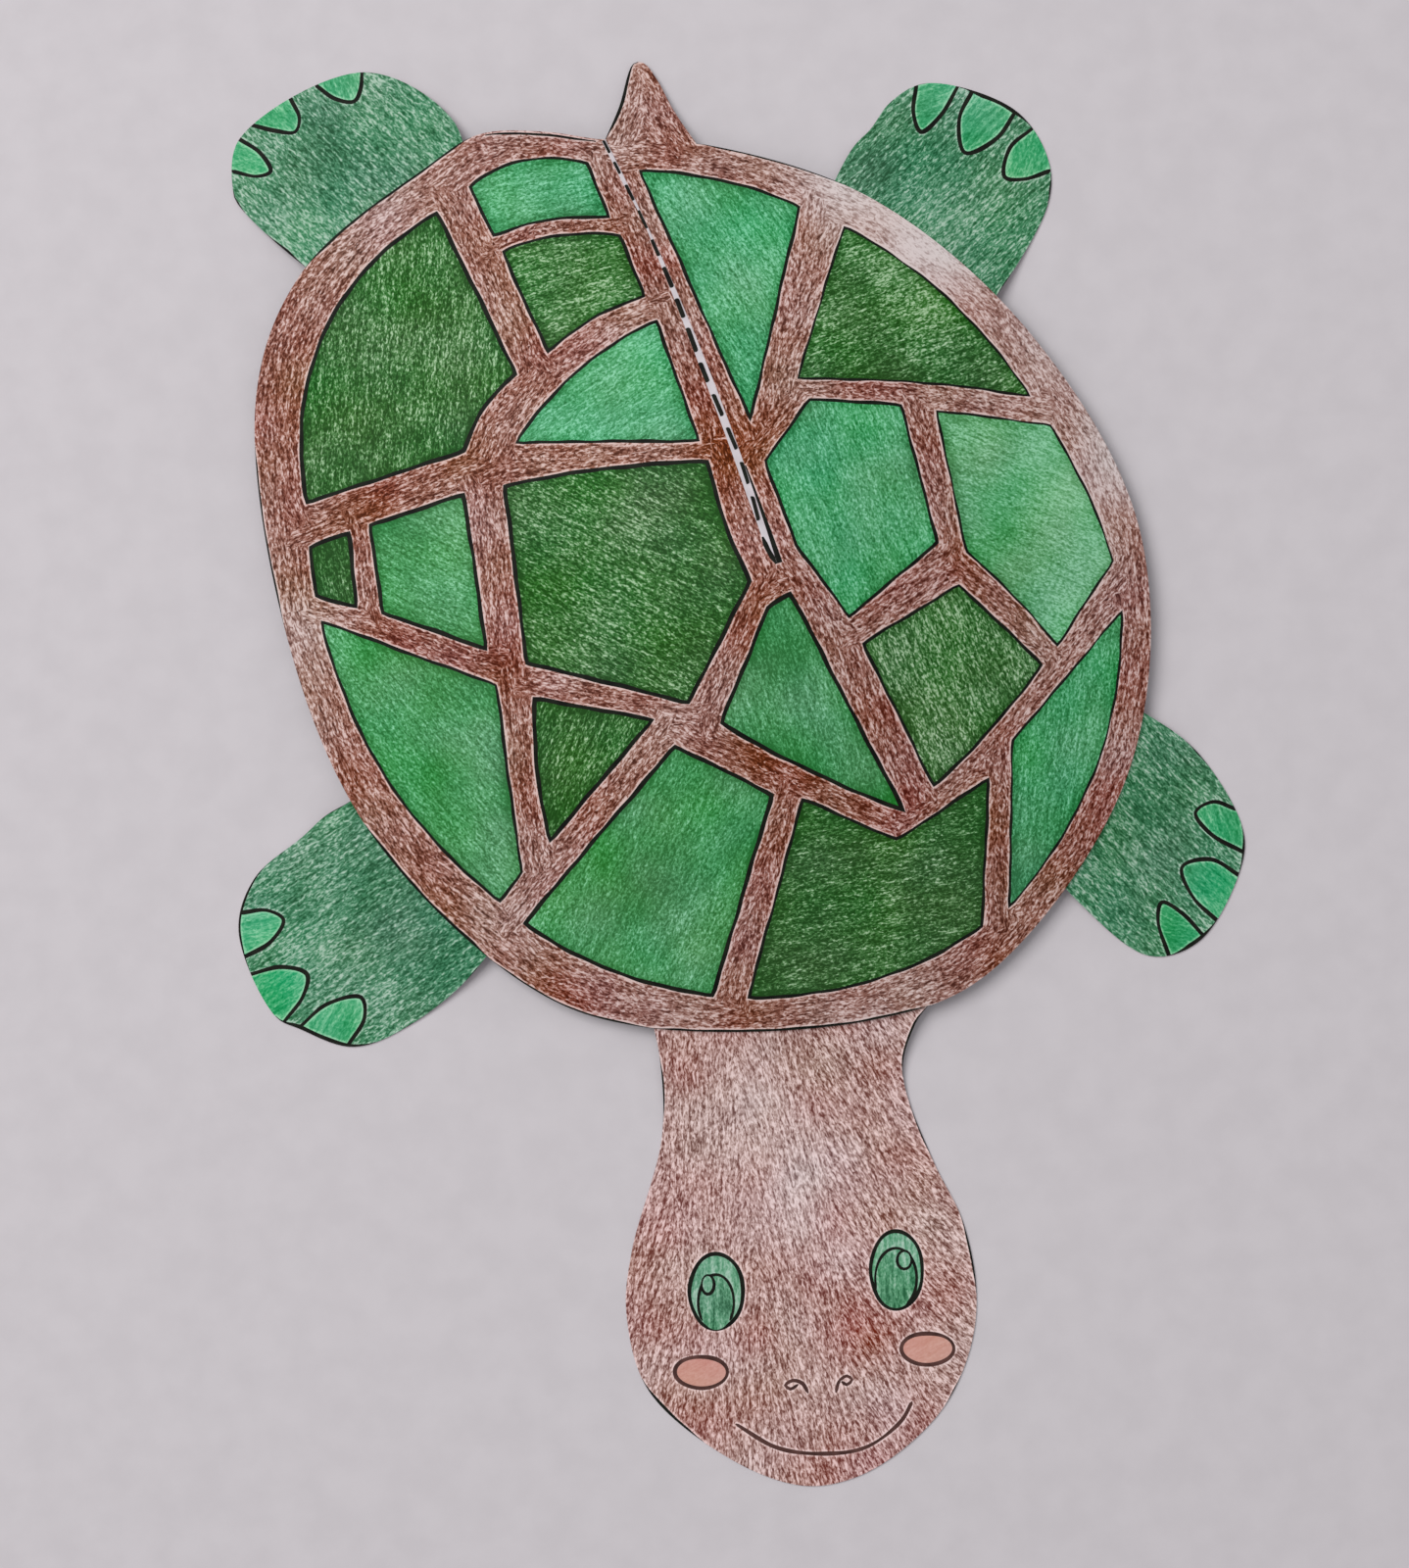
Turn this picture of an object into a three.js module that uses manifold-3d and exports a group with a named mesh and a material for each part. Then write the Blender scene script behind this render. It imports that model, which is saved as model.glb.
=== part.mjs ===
import * as THREE from 'three';
import { mergeVertices } from 'three/addons/utils/BufferGeometryUtils.js';
import Module from 'manifold-3d';

// A flat card turtle: a slit disc lapped and glued into a shallow dome,
// with a card head and four card legs glued under its rim.
// Units are millimetres. The turtle faces -Y, its tail points to +Y, +Z is up,
// and left and right are the turtle's own.

const CARD = 0.4;
const GLUE_GAP = 0.3;
const DOME_HEIGHT = 24;
const RIM_TOP = 4.1;
const APEX = new THREE.Vector2(15.2, 1.1);
const APEX_ROUNDING = 0.03;
const MEAN_RIM = 90;

// The lap: the slit runs from the rim at the tail's left base to the apex.
// Angles are in degrees round the apex. The two layers share GLUE_BITE, so they fuse.
const SLIT_ANGLE = 104.8;
const TAB_ANGLE = 5;
const LAP_BLEND_ANGLE = 9;
const FLAP_CLEARANCE_ANGLE = 0.05;
const GLUE_BITE = 0.05;
const LAP_SINK = CARD - GLUE_BITE;
const LAP_FADE_SHARE = 0.18;

// Shell rim: [degrees from +X towards +Y, distance from the shell's middle].
const RIM_POINTS = [
  [0, 91], [30, 85.3], [60, 87], [84, 91], [96, 94], [103, 99], [110, 103.5],
  [117, 103], [135, 104.5], [150, 100], [180, 86.3], [210, 85.2], [240, 90], [255, 91.8],
  [285, 96.2], [300, 99.4], [330, 96],
];
// The tail's outline from its left base over the tip to its right base.
const TAIL = [
  [-9.5, 93.5], [-6, 100], [-2, 109], [0, 109], [2.5, 105], [5, 98.5], [9, 90.5],
];
const TAIL_TIP = 3;

// Shell rings as shares of the way from the apex to the rim, and spokes by region.
const SHELL_RINGS = [0.04, 0.1, 0.18, 0.35, 0.55, 0.78, 1];
const SHELL_SPOKES = 28;
const LAP_SPOKES = 3;
const TAIL_SPOKES = 3;

// Outlines of the glued-on pieces, smooth curves through a few points,
// clockwise as seen from above. Both ends of each are hidden under the shell.
const OUTLINES = {
  rear_right_leg: [
    [-63, 66], [-73.9, 74.3], [-86.7, 89.4], [-87.3, 92], [-84.9, 102.6], [-57.6, 113.5],
    [-40.5, 101.4], [-38, 84],
  ],
  rear_left_leg: [
    [30, 69], [41.2, 86.6], [45.2, 90], [50.1, 95.3], [57.9, 98.3], [75.4, 90.8], [81.1, 80],
    [80.1, 70.7], [62.5, 47.5], [56, 42],
  ],
  front_left_leg: [
    [75, -29], [88.4, -36.8], [98.2, -45.7], [105.6, -61.6], [105.1, -68.8], [94.5, -84.4],
    [83.8, -86.5], [70.3, -73.9], [60, -59],
  ],
  front_right_leg: [
    [-45, -58], [-53.5, -72], [-69.4, -83.2], [-82.3, -86.8], [-93.1, -81.8], [-97.7, -78.7],
    [-103.3, -60.3], [-98.8, -49.8], [-87.9, -42.4], [-82.4, -38.5], [-76.8, -36.1], [-64, -29],
  ],
  head: [
    [36, -79], [38.5, -88.5], [33.8, -94.7], [30.1, -104.5], [34.3, -123.4], [39, -136.5],
    [40.3, -150.5], [38, -162.2], [31.1, -174.3], [19.3, -183.6], [9.2, -187.4], [-0.3, -187.4],
    [-14, -180.5], [-29.5, -164.4], [-32.3, -147.9], [-29.8, -135.4], [-20.9, -112.4],
    [-19.5, -95.6], [-20.4, -85], [-20, -76],
  ],
};

// Sheet pieces are cut into rows that crowd together towards the far tip.
const HEAD_ROWS = 22;
const LEG_ROWS = 14;
const COLUMNS = 8;
const ROW_CROWDING = 0.9;
const TIP_INSET = 0.05;
const LAST_ROW_SHARE = 0.999;
const RIM_SAMPLES = 240;
const OUTLINE_SAMPLES = 160;

const PARALLEL = 1e-9;
const ON_SIDE = 1e-6;
const SAME_POINT = 1e-5;

const COLOURS = {
  shell: 0x7f6a58,
  head: 0xb68d86,
  leg: 0x4c8a68,
};

const wasm = await Module();
wasm.setup();

const radians = THREE.MathUtils.degToRad;
const degrees = THREE.MathUtils.radToDeg;

function rimPolygon() {
  const controls = RIM_POINTS.map(([angle, distance]) => {
    const a = radians(angle);
    return new THREE.Vector3(distance * Math.cos(a), distance * Math.sin(a), 0);
  });
  const curve = new THREE.CatmullRomCurve3(controls, true, 'centripetal');
  const points = curve.getPoints(RIM_SAMPLES).slice(0, RIM_SAMPLES);
  return points.map((p) => new THREE.Vector2(p.x, p.y));
}

// Farthest crossing of the ray from the apex with a chain of points, or 0.
function rayDistance(points, degreesFromX, closed) {
  const a = radians(degreesFromX);
  const direction = new THREE.Vector2(Math.cos(a), Math.sin(a));
  const last = closed ? points.length : points.length - 1;
  let best = 0;
  for (let i = 0; i < last; i += 1) {
    const p = points[i].clone().sub(APEX);
    const q = points[(i + 1) % points.length].clone().sub(APEX);
    const side = q.clone().sub(p);
    const denominator = direction.cross(side);
    if (Math.abs(denominator) < PARALLEL) continue;
    const along = p.cross(side) / denominator;
    const onSide = p.cross(direction) / denominator;
    if (onSide >= -ON_SIDE && onSide <= 1 + ON_SIDE && along > best) best = along;
  }
  return best;
}

const RIM = rimPolygon();
const TAIL_POINTS = TAIL.map(([x, y]) => new THREE.Vector2(x, y));
const rimAt = (angle) => rayDistance(RIM, angle, true);
const edgeAt = (angle) => Math.max(rimAt(angle), rayDistance(TAIL_POINTS, angle, false));

// Beyond the rim a sheet leaves the dome's slope and levels out on the table.
function runOut(run, drop, slope) {
  const length = (2 * drop) / slope;
  return run >= length ? 0 : drop * (1 - run / length) ** 2;
}

// Height of the shell's upper face.
function shellTop(radius, rim) {
  if (radius > rim) {
    return CARD + runOut(radius - rim, RIM_TOP - CARD, DOME_HEIGHT / rim);
  }
  const fraction = radius / rim;
  return RIM_TOP + DOME_HEIGHT * (1 - Math.sqrt(fraction ** 2 + APEX_ROUNDING ** 2));
}

// Height of the upper face of a piece glued under the rim.
function underTop(x, y) {
  const from = new THREE.Vector2(x, y).sub(APEX);
  const radius = from.length();
  const rim = rimAt(degrees(Math.atan2(from.y, from.x)));
  if (radius <= rim) return shellTop(radius, rim) - CARD - GLUE_GAP;
  return CARD + runOut(radius - rim, RIM_TOP - GLUE_GAP - 2 * CARD, DOME_HEIGHT / rim);
}

// Closes a grid of top points with an under face one card thickness below.
function closedSheet(rows, apex) {
  const positions = [];
  const indices = [];
  const width = rows[0].length;
  const put = (p, lower) => positions.push(p.x, p.y, p.z - lower);
  rows.forEach((row) => row.forEach((p) => put(p, 0)));
  rows.forEach((row) => row.forEach((p) => put(p, CARD)));
  const under = rows.length * width;
  const top = (r, c) => r * width + c;
  for (let r = 0; r + 1 < rows.length; r += 1) {
    for (let c = 0; c + 1 < width; c += 1) {
      const a = top(r, c);
      const b = top(r + 1, c);
      const d = top(r + 1, c + 1);
      const e = top(r, c + 1);
      indices.push(a, b, d, a, d, e);
      indices.push(under + a, under + d, under + b, under + a, under + e, under + d);
    }
  }
  const border = [];
  for (let r = 0; r < rows.length; r += 1) border.push(top(r, 0));
  for (let c = 1; c < width; c += 1) border.push(top(rows.length - 1, c));
  for (let r = rows.length - 2; r >= 0; r -= 1) border.push(top(r, width - 1));
  if (apex) {
    put(apex, 0);
    put(apex, CARD);
    const tip = 2 * under;
    for (let c = 0; c + 1 < width; c += 1) {
      indices.push(tip, top(0, c), top(0, c + 1));
      indices.push(tip + 1, under + top(0, c + 1), under + top(0, c));
    }
    indices.push(tip, tip + 1, under + border[0]);
    indices.push(tip, under + border[0], border[0]);
    indices.push(border.at(-1), under + border.at(-1), tip + 1);
    indices.push(border.at(-1), tip + 1, tip);
  } else {
    for (let c = width - 2; c >= 1; c -= 1) border.push(top(0, c));
  }
  const sides = apex ? border.length - 1 : border.length;
  for (let i = 0; i < sides; i += 1) {
    const a = border[i];
    const b = border[(i + 1) % border.length];
    indices.push(a, under + a, under + b, a, under + b, b);
  }
  const geometry = new THREE.BufferGeometry();
  geometry.setAttribute('position', new THREE.Float32BufferAttribute(positions, 3));
  geometry.setIndex(indices);
  return mergeVertices(geometry, SAME_POINT);
}

function toSolid(geometry) {
  return new wasm.Manifold(new wasm.Mesh({
    numProp: 3,
    vertProperties: Float32Array.from(geometry.attributes.position.array),
    triVerts: Uint32Array.from(geometry.index.array),
  }));
}

function toGeometry(solid) {
  const mesh = solid.getMesh();
  const geometry = new THREE.BufferGeometry();
  geometry.setAttribute('position', new THREE.Float32BufferAttribute(mesh.vertProperties, 3));
  geometry.setIndex(Array.from(mesh.triVerts));
  return geometry;
}

// How far the left part of the shell sinks under the flap.
function lapSink(angle, radius) {
  const past = Math.max(0, angle - SLIT_ANGLE) / LAP_BLEND_ANGLE;
  const across = past >= 1 ? 0 : 1 - past * past * (3 - 2 * past);
  return LAP_SINK * across * Math.min(1, radius / (LAP_FADE_SHARE * MEAN_RIM));
}

// One fan of the shell between two angles. The lower fan holds the tab.
function shellFan(angles, isLower) {
  const rows = SHELL_RINGS.map((ring) => angles.map((angle) => {
    const rim = rimAt(angle);
    const edge = isLower ? rim : edgeAt(angle);
    const radius = ring === 1 ? edge : ring * rim;
    const a = radians(angle);
    const sink = isLower ? lapSink(angle, radius) : 0;
    const height = shellTop(radius, rim) - sink;
    return new THREE.Vector3(
      APEX.x + radius * Math.cos(a),
      APEX.y + radius * Math.sin(a),
      height,
    );
  }));
  return closedSheet(rows, new THREE.Vector3(APEX.x, APEX.y, shellTop(0, MEAN_RIM)));
}

function spread(from, to, count) {
  const steps = Array.from({ length: count }, (_, i) => from + ((to - from) * i) / count);
  return [...steps, to];
}

function shellGeometry() {
  const half = SLIT_ANGLE + 180;
  const flapEnd = SLIT_ANGLE + 360;
  const angleOf = (p) => degrees(Math.atan2(p.y - APEX.y, p.x - APEX.x)) + 360;
  const tailStart = angleOf(TAIL_POINTS.at(-1));
  const tailTip = angleOf(TAIL_POINTS[TAIL_TIP]);
  const lower = [
    ...spread(SLIT_ANGLE - TAB_ANGLE, SLIT_ANGLE, 1),
    ...spread(SLIT_ANGLE, SLIT_ANGLE + LAP_BLEND_ANGLE, LAP_SPOKES).slice(1),
    ...spread(SLIT_ANGLE + LAP_BLEND_ANGLE, half, SHELL_SPOKES).slice(1),
  ];
  const upper = [
    ...spread(half, tailStart, SHELL_SPOKES),
    ...spread(tailStart, tailTip, TAIL_SPOKES).slice(1),
    ...spread(tailTip, flapEnd - FLAP_CLEARANCE_ANGLE, TAIL_SPOKES).slice(1),
  ];
  const joined = toSolid(shellFan(lower, true)).add(toSolid(shellFan(upper, false)));
  return toGeometry(joined);
}

// A sheet piece cut across its length into rows from its outline.
function stripGeometry(outline, rowCount) {
  const controls = outline.map(([x, y]) => new THREE.Vector3(x, y, 0));
  const curve = new THREE.CatmullRomCurve3(controls, false, 'centripetal');
  const loop = curve.getPoints(OUTLINE_SAMPLES).map((p) => new THREE.Vector2(p.x, p.y));
  const root = loop[0].clone().add(loop.at(-1)).multiplyScalar(0.5);
  const farthest = loop.reduce((best, p) => (
    p.distanceTo(root) > best.distanceTo(root) ? p : best), root);
  const along = farthest.clone().sub(root).normalize();
  const across = new THREE.Vector2(-along.y, along.x);
  const alongOf = (p) => p.clone().sub(root).dot(along);
  const near = Math.max(alongOf(loop[0]), alongOf(loop.at(-1)));
  const far = Math.max(...loop.map(alongOf));
  const rows = [];
  for (let i = 0; i <= rowCount; i += 1) {
    const share = Math.sin((i / rowCount) * Math.PI * 0.5) ** ROW_CROWDING;
    const u = near + (far - TIP_INSET - near) * Math.min(share, LAST_ROW_SHARE);
    const hits = [];
    loop.forEach((p, k) => {
      const q = loop[(k + 1) % loop.length];
      const up = alongOf(p);
      const uq = alongOf(q);
      if ((up - u) * (uq - u) > 0 || up === uq) return;
      hits.push(p.clone().lerp(q, (u - up) / (uq - up)).sub(root).dot(across));
    });
    const low = Math.min(...hits);
    const high = Math.max(...hits);
    rows.push(spread(low, high, COLUMNS).map((v) => {
      const p = root.clone().addScaledVector(along, u).addScaledVector(across, v);
      return new THREE.Vector3(p.x, p.y, underTop(p.x, p.y));
    }));
  }
  return closedSheet(rows, null);
}

function addPiece(group, name, geometry, colour) {
  geometry.computeVertexNormals();
  const material = new THREE.MeshStandardMaterial({
    color: colour, roughness: 0.85, metalness: 0,
  });
  material.name = name === 'shell' || name === 'head' ? `${name}_card` : 'leg_card';
  const mesh = new THREE.Mesh(geometry, material);
  mesh.name = name;
  group.add(mesh);
}

const turtle = new THREE.Group();
turtle.name = 'card_turtle';
addPiece(turtle, 'shell', shellGeometry(), COLOURS.shell);
addPiece(turtle, 'head', stripGeometry(OUTLINES.head, HEAD_ROWS), COLOURS.head);
for (const name of ['front_left_leg', 'front_right_leg', 'rear_left_leg', 'rear_right_leg']) {
  addPiece(turtle, name, stripGeometry(OUTLINES[name], LEG_ROWS), COLOURS.leg);
}

// Stand the turtle on the table with its plan centred on the origin.
const box = new THREE.Box3().setFromObject(turtle);
const centre = box.getCenter(new THREE.Vector3());
turtle.children.forEach((mesh) => {
  mesh.geometry.translate(-centre.x, -centre.y, -box.min.z);
});

export default turtle;
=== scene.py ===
# %% [markdown]
# # A card turtle, coloured with pencils
#
# The real object is a classroom craft. A disc of white drawing card is slit, lapped and glued into
# a low dome, and a head and four legs of flat card are glued under its rim. All its pattern is
# drawn: marker outlines, filled with coloured pencil. Such a thing could be one painted plane, but
# card has edges, laps and a curve, so here each sheet is a thin closed mesh. The drawing is cut
# into the sheet's own faces, so that a line is as sharp as a pen's, and each kind of pencil is a
# material. The script starts from a fixed model that has the right sizes.

# %% Load the fixed frame
import math
import random

import bpy
import numpy as np
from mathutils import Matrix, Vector
from mathutils.geometry import delaunay_2d_cdt
from mathutils.kdtree import KDTree


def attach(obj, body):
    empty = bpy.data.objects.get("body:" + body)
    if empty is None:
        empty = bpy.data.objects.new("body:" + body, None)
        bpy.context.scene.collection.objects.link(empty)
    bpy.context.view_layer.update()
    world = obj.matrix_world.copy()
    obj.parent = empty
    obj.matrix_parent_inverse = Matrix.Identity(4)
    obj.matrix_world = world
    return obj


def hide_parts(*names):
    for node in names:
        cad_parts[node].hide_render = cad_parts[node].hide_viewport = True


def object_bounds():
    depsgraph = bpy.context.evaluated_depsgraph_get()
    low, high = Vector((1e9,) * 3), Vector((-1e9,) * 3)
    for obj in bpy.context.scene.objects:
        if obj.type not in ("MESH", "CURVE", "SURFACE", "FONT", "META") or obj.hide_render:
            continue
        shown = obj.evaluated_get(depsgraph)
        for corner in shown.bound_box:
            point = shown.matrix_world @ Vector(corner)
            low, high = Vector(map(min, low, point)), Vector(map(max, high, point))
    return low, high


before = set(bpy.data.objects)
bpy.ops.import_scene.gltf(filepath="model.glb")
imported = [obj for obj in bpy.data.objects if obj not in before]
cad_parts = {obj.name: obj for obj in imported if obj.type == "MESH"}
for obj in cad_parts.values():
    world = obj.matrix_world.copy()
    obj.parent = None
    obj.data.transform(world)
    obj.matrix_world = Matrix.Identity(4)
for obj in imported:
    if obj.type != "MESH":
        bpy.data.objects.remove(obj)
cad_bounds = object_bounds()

MM = 0.001
extent = (cad_bounds[1] - cad_bounds[0]) / MM
print("the fixed model measures", [round(side, 1) for side in extent], "mm")

# %% [markdown]
# ## Where the drawing's own ruler lies
#
# The drawing is easiest to describe in millimetres from the middle of the shell's disc, as its
# maker would with a ruler. The fixed model has its origin elsewhere. The dome's peak is known in
# both, so the script finds the peak in the model and measures the shift between the two from it.

# %% Find the dome's peak
APEX = np.array([15.2, 1.1])
peak = max(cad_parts["shell"].data.vertices, key=lambda vertex: vertex.co.z).co
SHIFT = APEX - np.array([peak.x, peak.y]) / MM


def to_row(x, y, z=0.0):
    """A point in the drawing's millimetres as a place in the model's metres."""
    return Vector(((x - SHIFT[0]) * MM, (y - SHIFT[1]) * MM, z * MM))


print("the peak is", round(peak.z / MM, 2), "mm high; the shift is", SHIFT.round(2), "mm")

# %% [markdown]
# ## Smooth lines through a few points
#
# Scissors and pens make smooth lines. Each outline is a short list of points and a curve through
# them. A Bezier would need handles as well; a Catmull-Rom curve passes through its points without
# them, and its centripetal form never makes loops where points lie close together.

# %% A smooth line
SHARPEST = 0.35   # keeps a very sharp corner from growing a long point


def smooth(points, step=1.5, closed=False):
    """A centripetal Catmull-Rom curve through the points, sampled about every step mm."""
    p = np.array(points, float)
    if closed:
        p = np.vstack([p[-1:], p, p[:2]])
    else:
        p = np.vstack([2 * p[0] - p[1], p, 2 * p[-1] - p[-2]])
    pieces = []
    for a, b, c, d in zip(p, p[1:], p[2:], p[3:]):
        before, here, after = (np.linalg.norm(q - r) ** 0.5 for q, r in ((b, a), (c, b), (d, c)))
        leave = ((b - a) / before - (c - a) / (before + here) + (c - b) / here) * here
        arrive = ((c - b) / here - (d - b) / (here + after) + (d - c) / after) * here
        count = max(2, round(np.linalg.norm(c - b) / step))
        t = (np.arange(count) / count)[:, None]
        pieces.append((2 * t**3 - 3 * t**2 + 1) * b + (t**3 - 2 * t**2 + t) * leave
                      + (3 * t**2 - 2 * t**3) * c + (t**3 - t**2) * arrive)
    line = np.vstack(pieces)
    return line if closed else np.vstack([line, p[-2]])


def sideways(line, closed=False):
    """Unit vectors to the right of a line's direction of travel."""
    ahead = np.roll(line, -1, 0)
    behind = np.roll(line, 1, 0)
    if not closed:
        ahead[-1] = line[-1]
        behind[0] = line[0]
    travel = ahead - behind
    travel /= np.linalg.norm(travel, axis=1)[:, None]
    return np.stack([travel[:, 1], -travel[:, 0]], 1)


def mitre(line):
    """For a closed line, the outward step at each point that keeps a corner sharp."""
    ahead = np.roll(line, -1, 0) - line
    ahead /= np.linalg.norm(ahead, axis=1)[:, None]
    right = np.stack([ahead[:, 1], -ahead[:, 0]], 1)
    before = np.roll(right, 1, 0)
    lean = 1 + (right * before).sum(1)
    return (right + before) / np.maximum(lean, SHARPEST)[:, None]


def length_along(line):
    """Distance from a line's start to each of its points."""
    return np.concatenate([[0], np.cumsum(np.linalg.norm(np.diff(line, axis=0), axis=1))])


# %% [markdown]
# ## The outlines of the six sheets
#
# The shell's disc is far from round, because it was cut freehand, so its rim is given as distances
# at a few bearings. The tail is part of the same sheet. The head and the legs reach under the rim,
# where the glue is.

# %% Cut lines
RIM_BEARINGS = [
    (0, 91), (30, 85.3), (60, 87), (84, 91), (96, 94), (103, 99), (110, 103.5),
    (117, 103), (135, 104.5), (150, 100), (180, 86.3), (210, 85.2), (240, 90), (255, 91.8),
    (285, 96.2), (300, 99.4), (330, 96),
]
TAIL = [(-9.5, 93.5), (-6, 100), (-2, 109), (0, 109), (2.5, 105), (5, 98.5), (9, 90.5)]
OUTLINES = {
    "rear_right_leg": [
        (-63, 66), (-73.9, 74.3), (-86.7, 89.4), (-87.3, 92), (-84.9, 102.6), (-57.6, 113.5),
        (-40.5, 101.4), (-38, 84),
    ],
    "rear_left_leg": [
        (30, 69), (41.2, 86.6), (45.2, 90), (50.1, 95.3), (57.9, 98.3), (75.4, 90.8),
        (81.1, 80), (80.1, 70.7), (62.5, 47.5), (56, 42),
    ],
    "front_left_leg": [
        (75, -29), (88.4, -36.8), (98.2, -45.7), (105.6, -61.6), (105.1, -68.8),
        (94.5, -84.4), (83.8, -86.5), (70.3, -73.9), (60, -59),
    ],
    "front_right_leg": [
        (-45, -58), (-53.5, -72), (-69.4, -83.2), (-82.3, -86.8), (-93.1, -81.8),
        (-97.7, -78.7), (-103.3, -60.3), (-98.8, -49.8), (-87.9, -42.4), (-82.4, -38.5),
        (-76.8, -36.1), (-64, -29),
    ],
    "head": [
        (36, -79), (38.5, -88.5), (33.8, -94.7), (30.1, -104.5), (34.3, -123.4), (39, -136.5),
        (40.3, -150.5), (38, -162.2), (31.1, -174.3), (19.3, -183.6), (9.2, -187.4),
        (-0.3, -187.4), (-14, -180.5), (-29.5, -164.4), (-32.3, -147.9), (-29.8, -135.4),
        (-20.9, -112.4), (-19.5, -95.6), (-20.4, -85), (-20, -76),
    ],
}

bearings, reaches = np.array(RIM_BEARINGS).T
rim_points = np.stack([reaches * np.cos(np.radians(bearings)),
                       reaches * np.sin(np.radians(bearings))], 1)
RIM = smooth(rim_points, 1.5, closed=True)
print("the rim has", len(RIM), "points and is", round(length_along(RIM)[-1]), "mm round")

# %% [markdown]
# ## The slit and the shape of the outline
#
# The slit runs from the rim, at the tail's left base, to the dome's peak, and its edge bows a
# little. The part on the tail's side is the flap, and lies on top. Everything about the lap is
# measured with the bearing and the distance from the peak.

# %% Bearings from the peak
SLIT_BOW = 2.0
SLIT_LAP_ANGLE = math.radians(5)
OUTLINE_STEP = 1.5      # mm
CORNER_CLEARANCE = 0.01     # radians


def from_peak(points):
    """Distance and bearing of each point from the dome's peak."""
    away = np.asarray(points, float) - APEX
    return np.hypot(*away.T), np.arctan2(away[:, 1], away[:, 0])


rim_distance, rim_bearing = from_peak(RIM)
rim_order = np.argsort(rim_bearing)


def rim_reach(bearing):
    """How far the rim is from the peak in a direction."""
    return np.interp(bearing, rim_bearing[rim_order], rim_distance[rim_order], period=2 * math.pi)


slit_end = np.array(TAIL[0], float)
slit_run = slit_end - APEX
slit_length = np.linalg.norm(slit_run)
slit_right = np.array([slit_run[1], -slit_run[0]]) / slit_length
steps = np.linspace(0, 1, round(slit_length / OUTLINE_STEP) + 1)[:, None]
SLIT = APEX + steps * slit_run + 4 * SLIT_BOW * steps * (1 - steps) * slit_right

slit_distance, slit_bearing = from_peak(SLIT[1:])
start_bearing, end_bearing = np.arctan2(*np.array([TAIL[0], TAIL[-1]], float).T[::-1])
around = np.arctan2(RIM[:, 1], RIM[:, 0])
past_slit = (around - start_bearing) % (2 * math.pi)
past_tail = (end_bearing - start_bearing) % (2 * math.pi)
kept = np.argsort(past_slit)
kept = [i for i in kept if CORNER_CLEARANCE < past_slit[i] < past_tail - CORNER_CLEARANCE]
SHELL_OUTLINE = np.vstack([[slit_end], RIM[kept], smooth(TAIL, OUTLINE_STEP)[::-1][:-1]])
print("the slit is", round(slit_length, 1), "mm long; the shell's outline has",
      len(SHELL_OUTLINE), "points")

# %% [markdown]
# ## Marker lines drawn by hand
#
# A marker line wanders by a fraction of a millimetre and swells where the pen slows down. Three
# waves of different lengths, started at random, give both. A closed line becomes two loops, its
# outer and its inner edge; an open one becomes one long thin shape.

# %% A pen
PEN = 0.85
PEN_WANDER = 0.16
PEN_SWELL = 0.1
HAND_WAVES = (37, 17, 8)    # mm
PEN_DOWN = 0.35     # share of the width at the very end of a stroke


def wander(line, seed, reach):
    """A slow wave along a line, which meets itself where the line closes."""
    dice = random.Random(seed)
    along = length_along(line)
    whole = along[-1] + np.linalg.norm(line[0] - line[-1])
    total = np.zeros(len(line))
    for wave in HAND_WAVES:
        turns = max(1, round(whole / wave))
        total += np.sin(2 * math.pi * turns * along / whole + dice.uniform(0, 2 * math.pi))
    return (reach * total / len(HAND_WAVES))[:, None]


def pen_loop(line, seed, width=PEN):
    """The outer and inner edges of a closed line, given anticlockwise."""
    middle = line + sideways(line, closed=True) * wander(line, seed, PEN_WANDER)
    half = mitre(middle) * (width / 2 + wander(line, seed + 1, PEN_SWELL))
    return middle + half, middle - half


def pen_stroke(line, seed, width=PEN):
    """The outline of an open line, narrowed at its two ends."""
    right = sideways(line)
    along = length_along(line)
    to_end = np.minimum(along, along[-1] - along)[:, None]
    half = (width / 2 + wander(line, seed, PEN_SWELL)) * np.clip(PEN_DOWN + to_end / width, 0, 1)
    return np.vstack([line + right * half, (line - right * half)[::-1]])


# %% [markdown]
# ## The scutes
#
# The shell's pattern is eighteen closed shapes, as the plates of a real turtle's shell. Each is a
# list of corners, and a bow says by how many millimetres the side after a corner bulges outwards.
# Each has the pencil that fills it, the width of its marker line, the direction of its strokes,
# and how hard the hand pressed.

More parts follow.
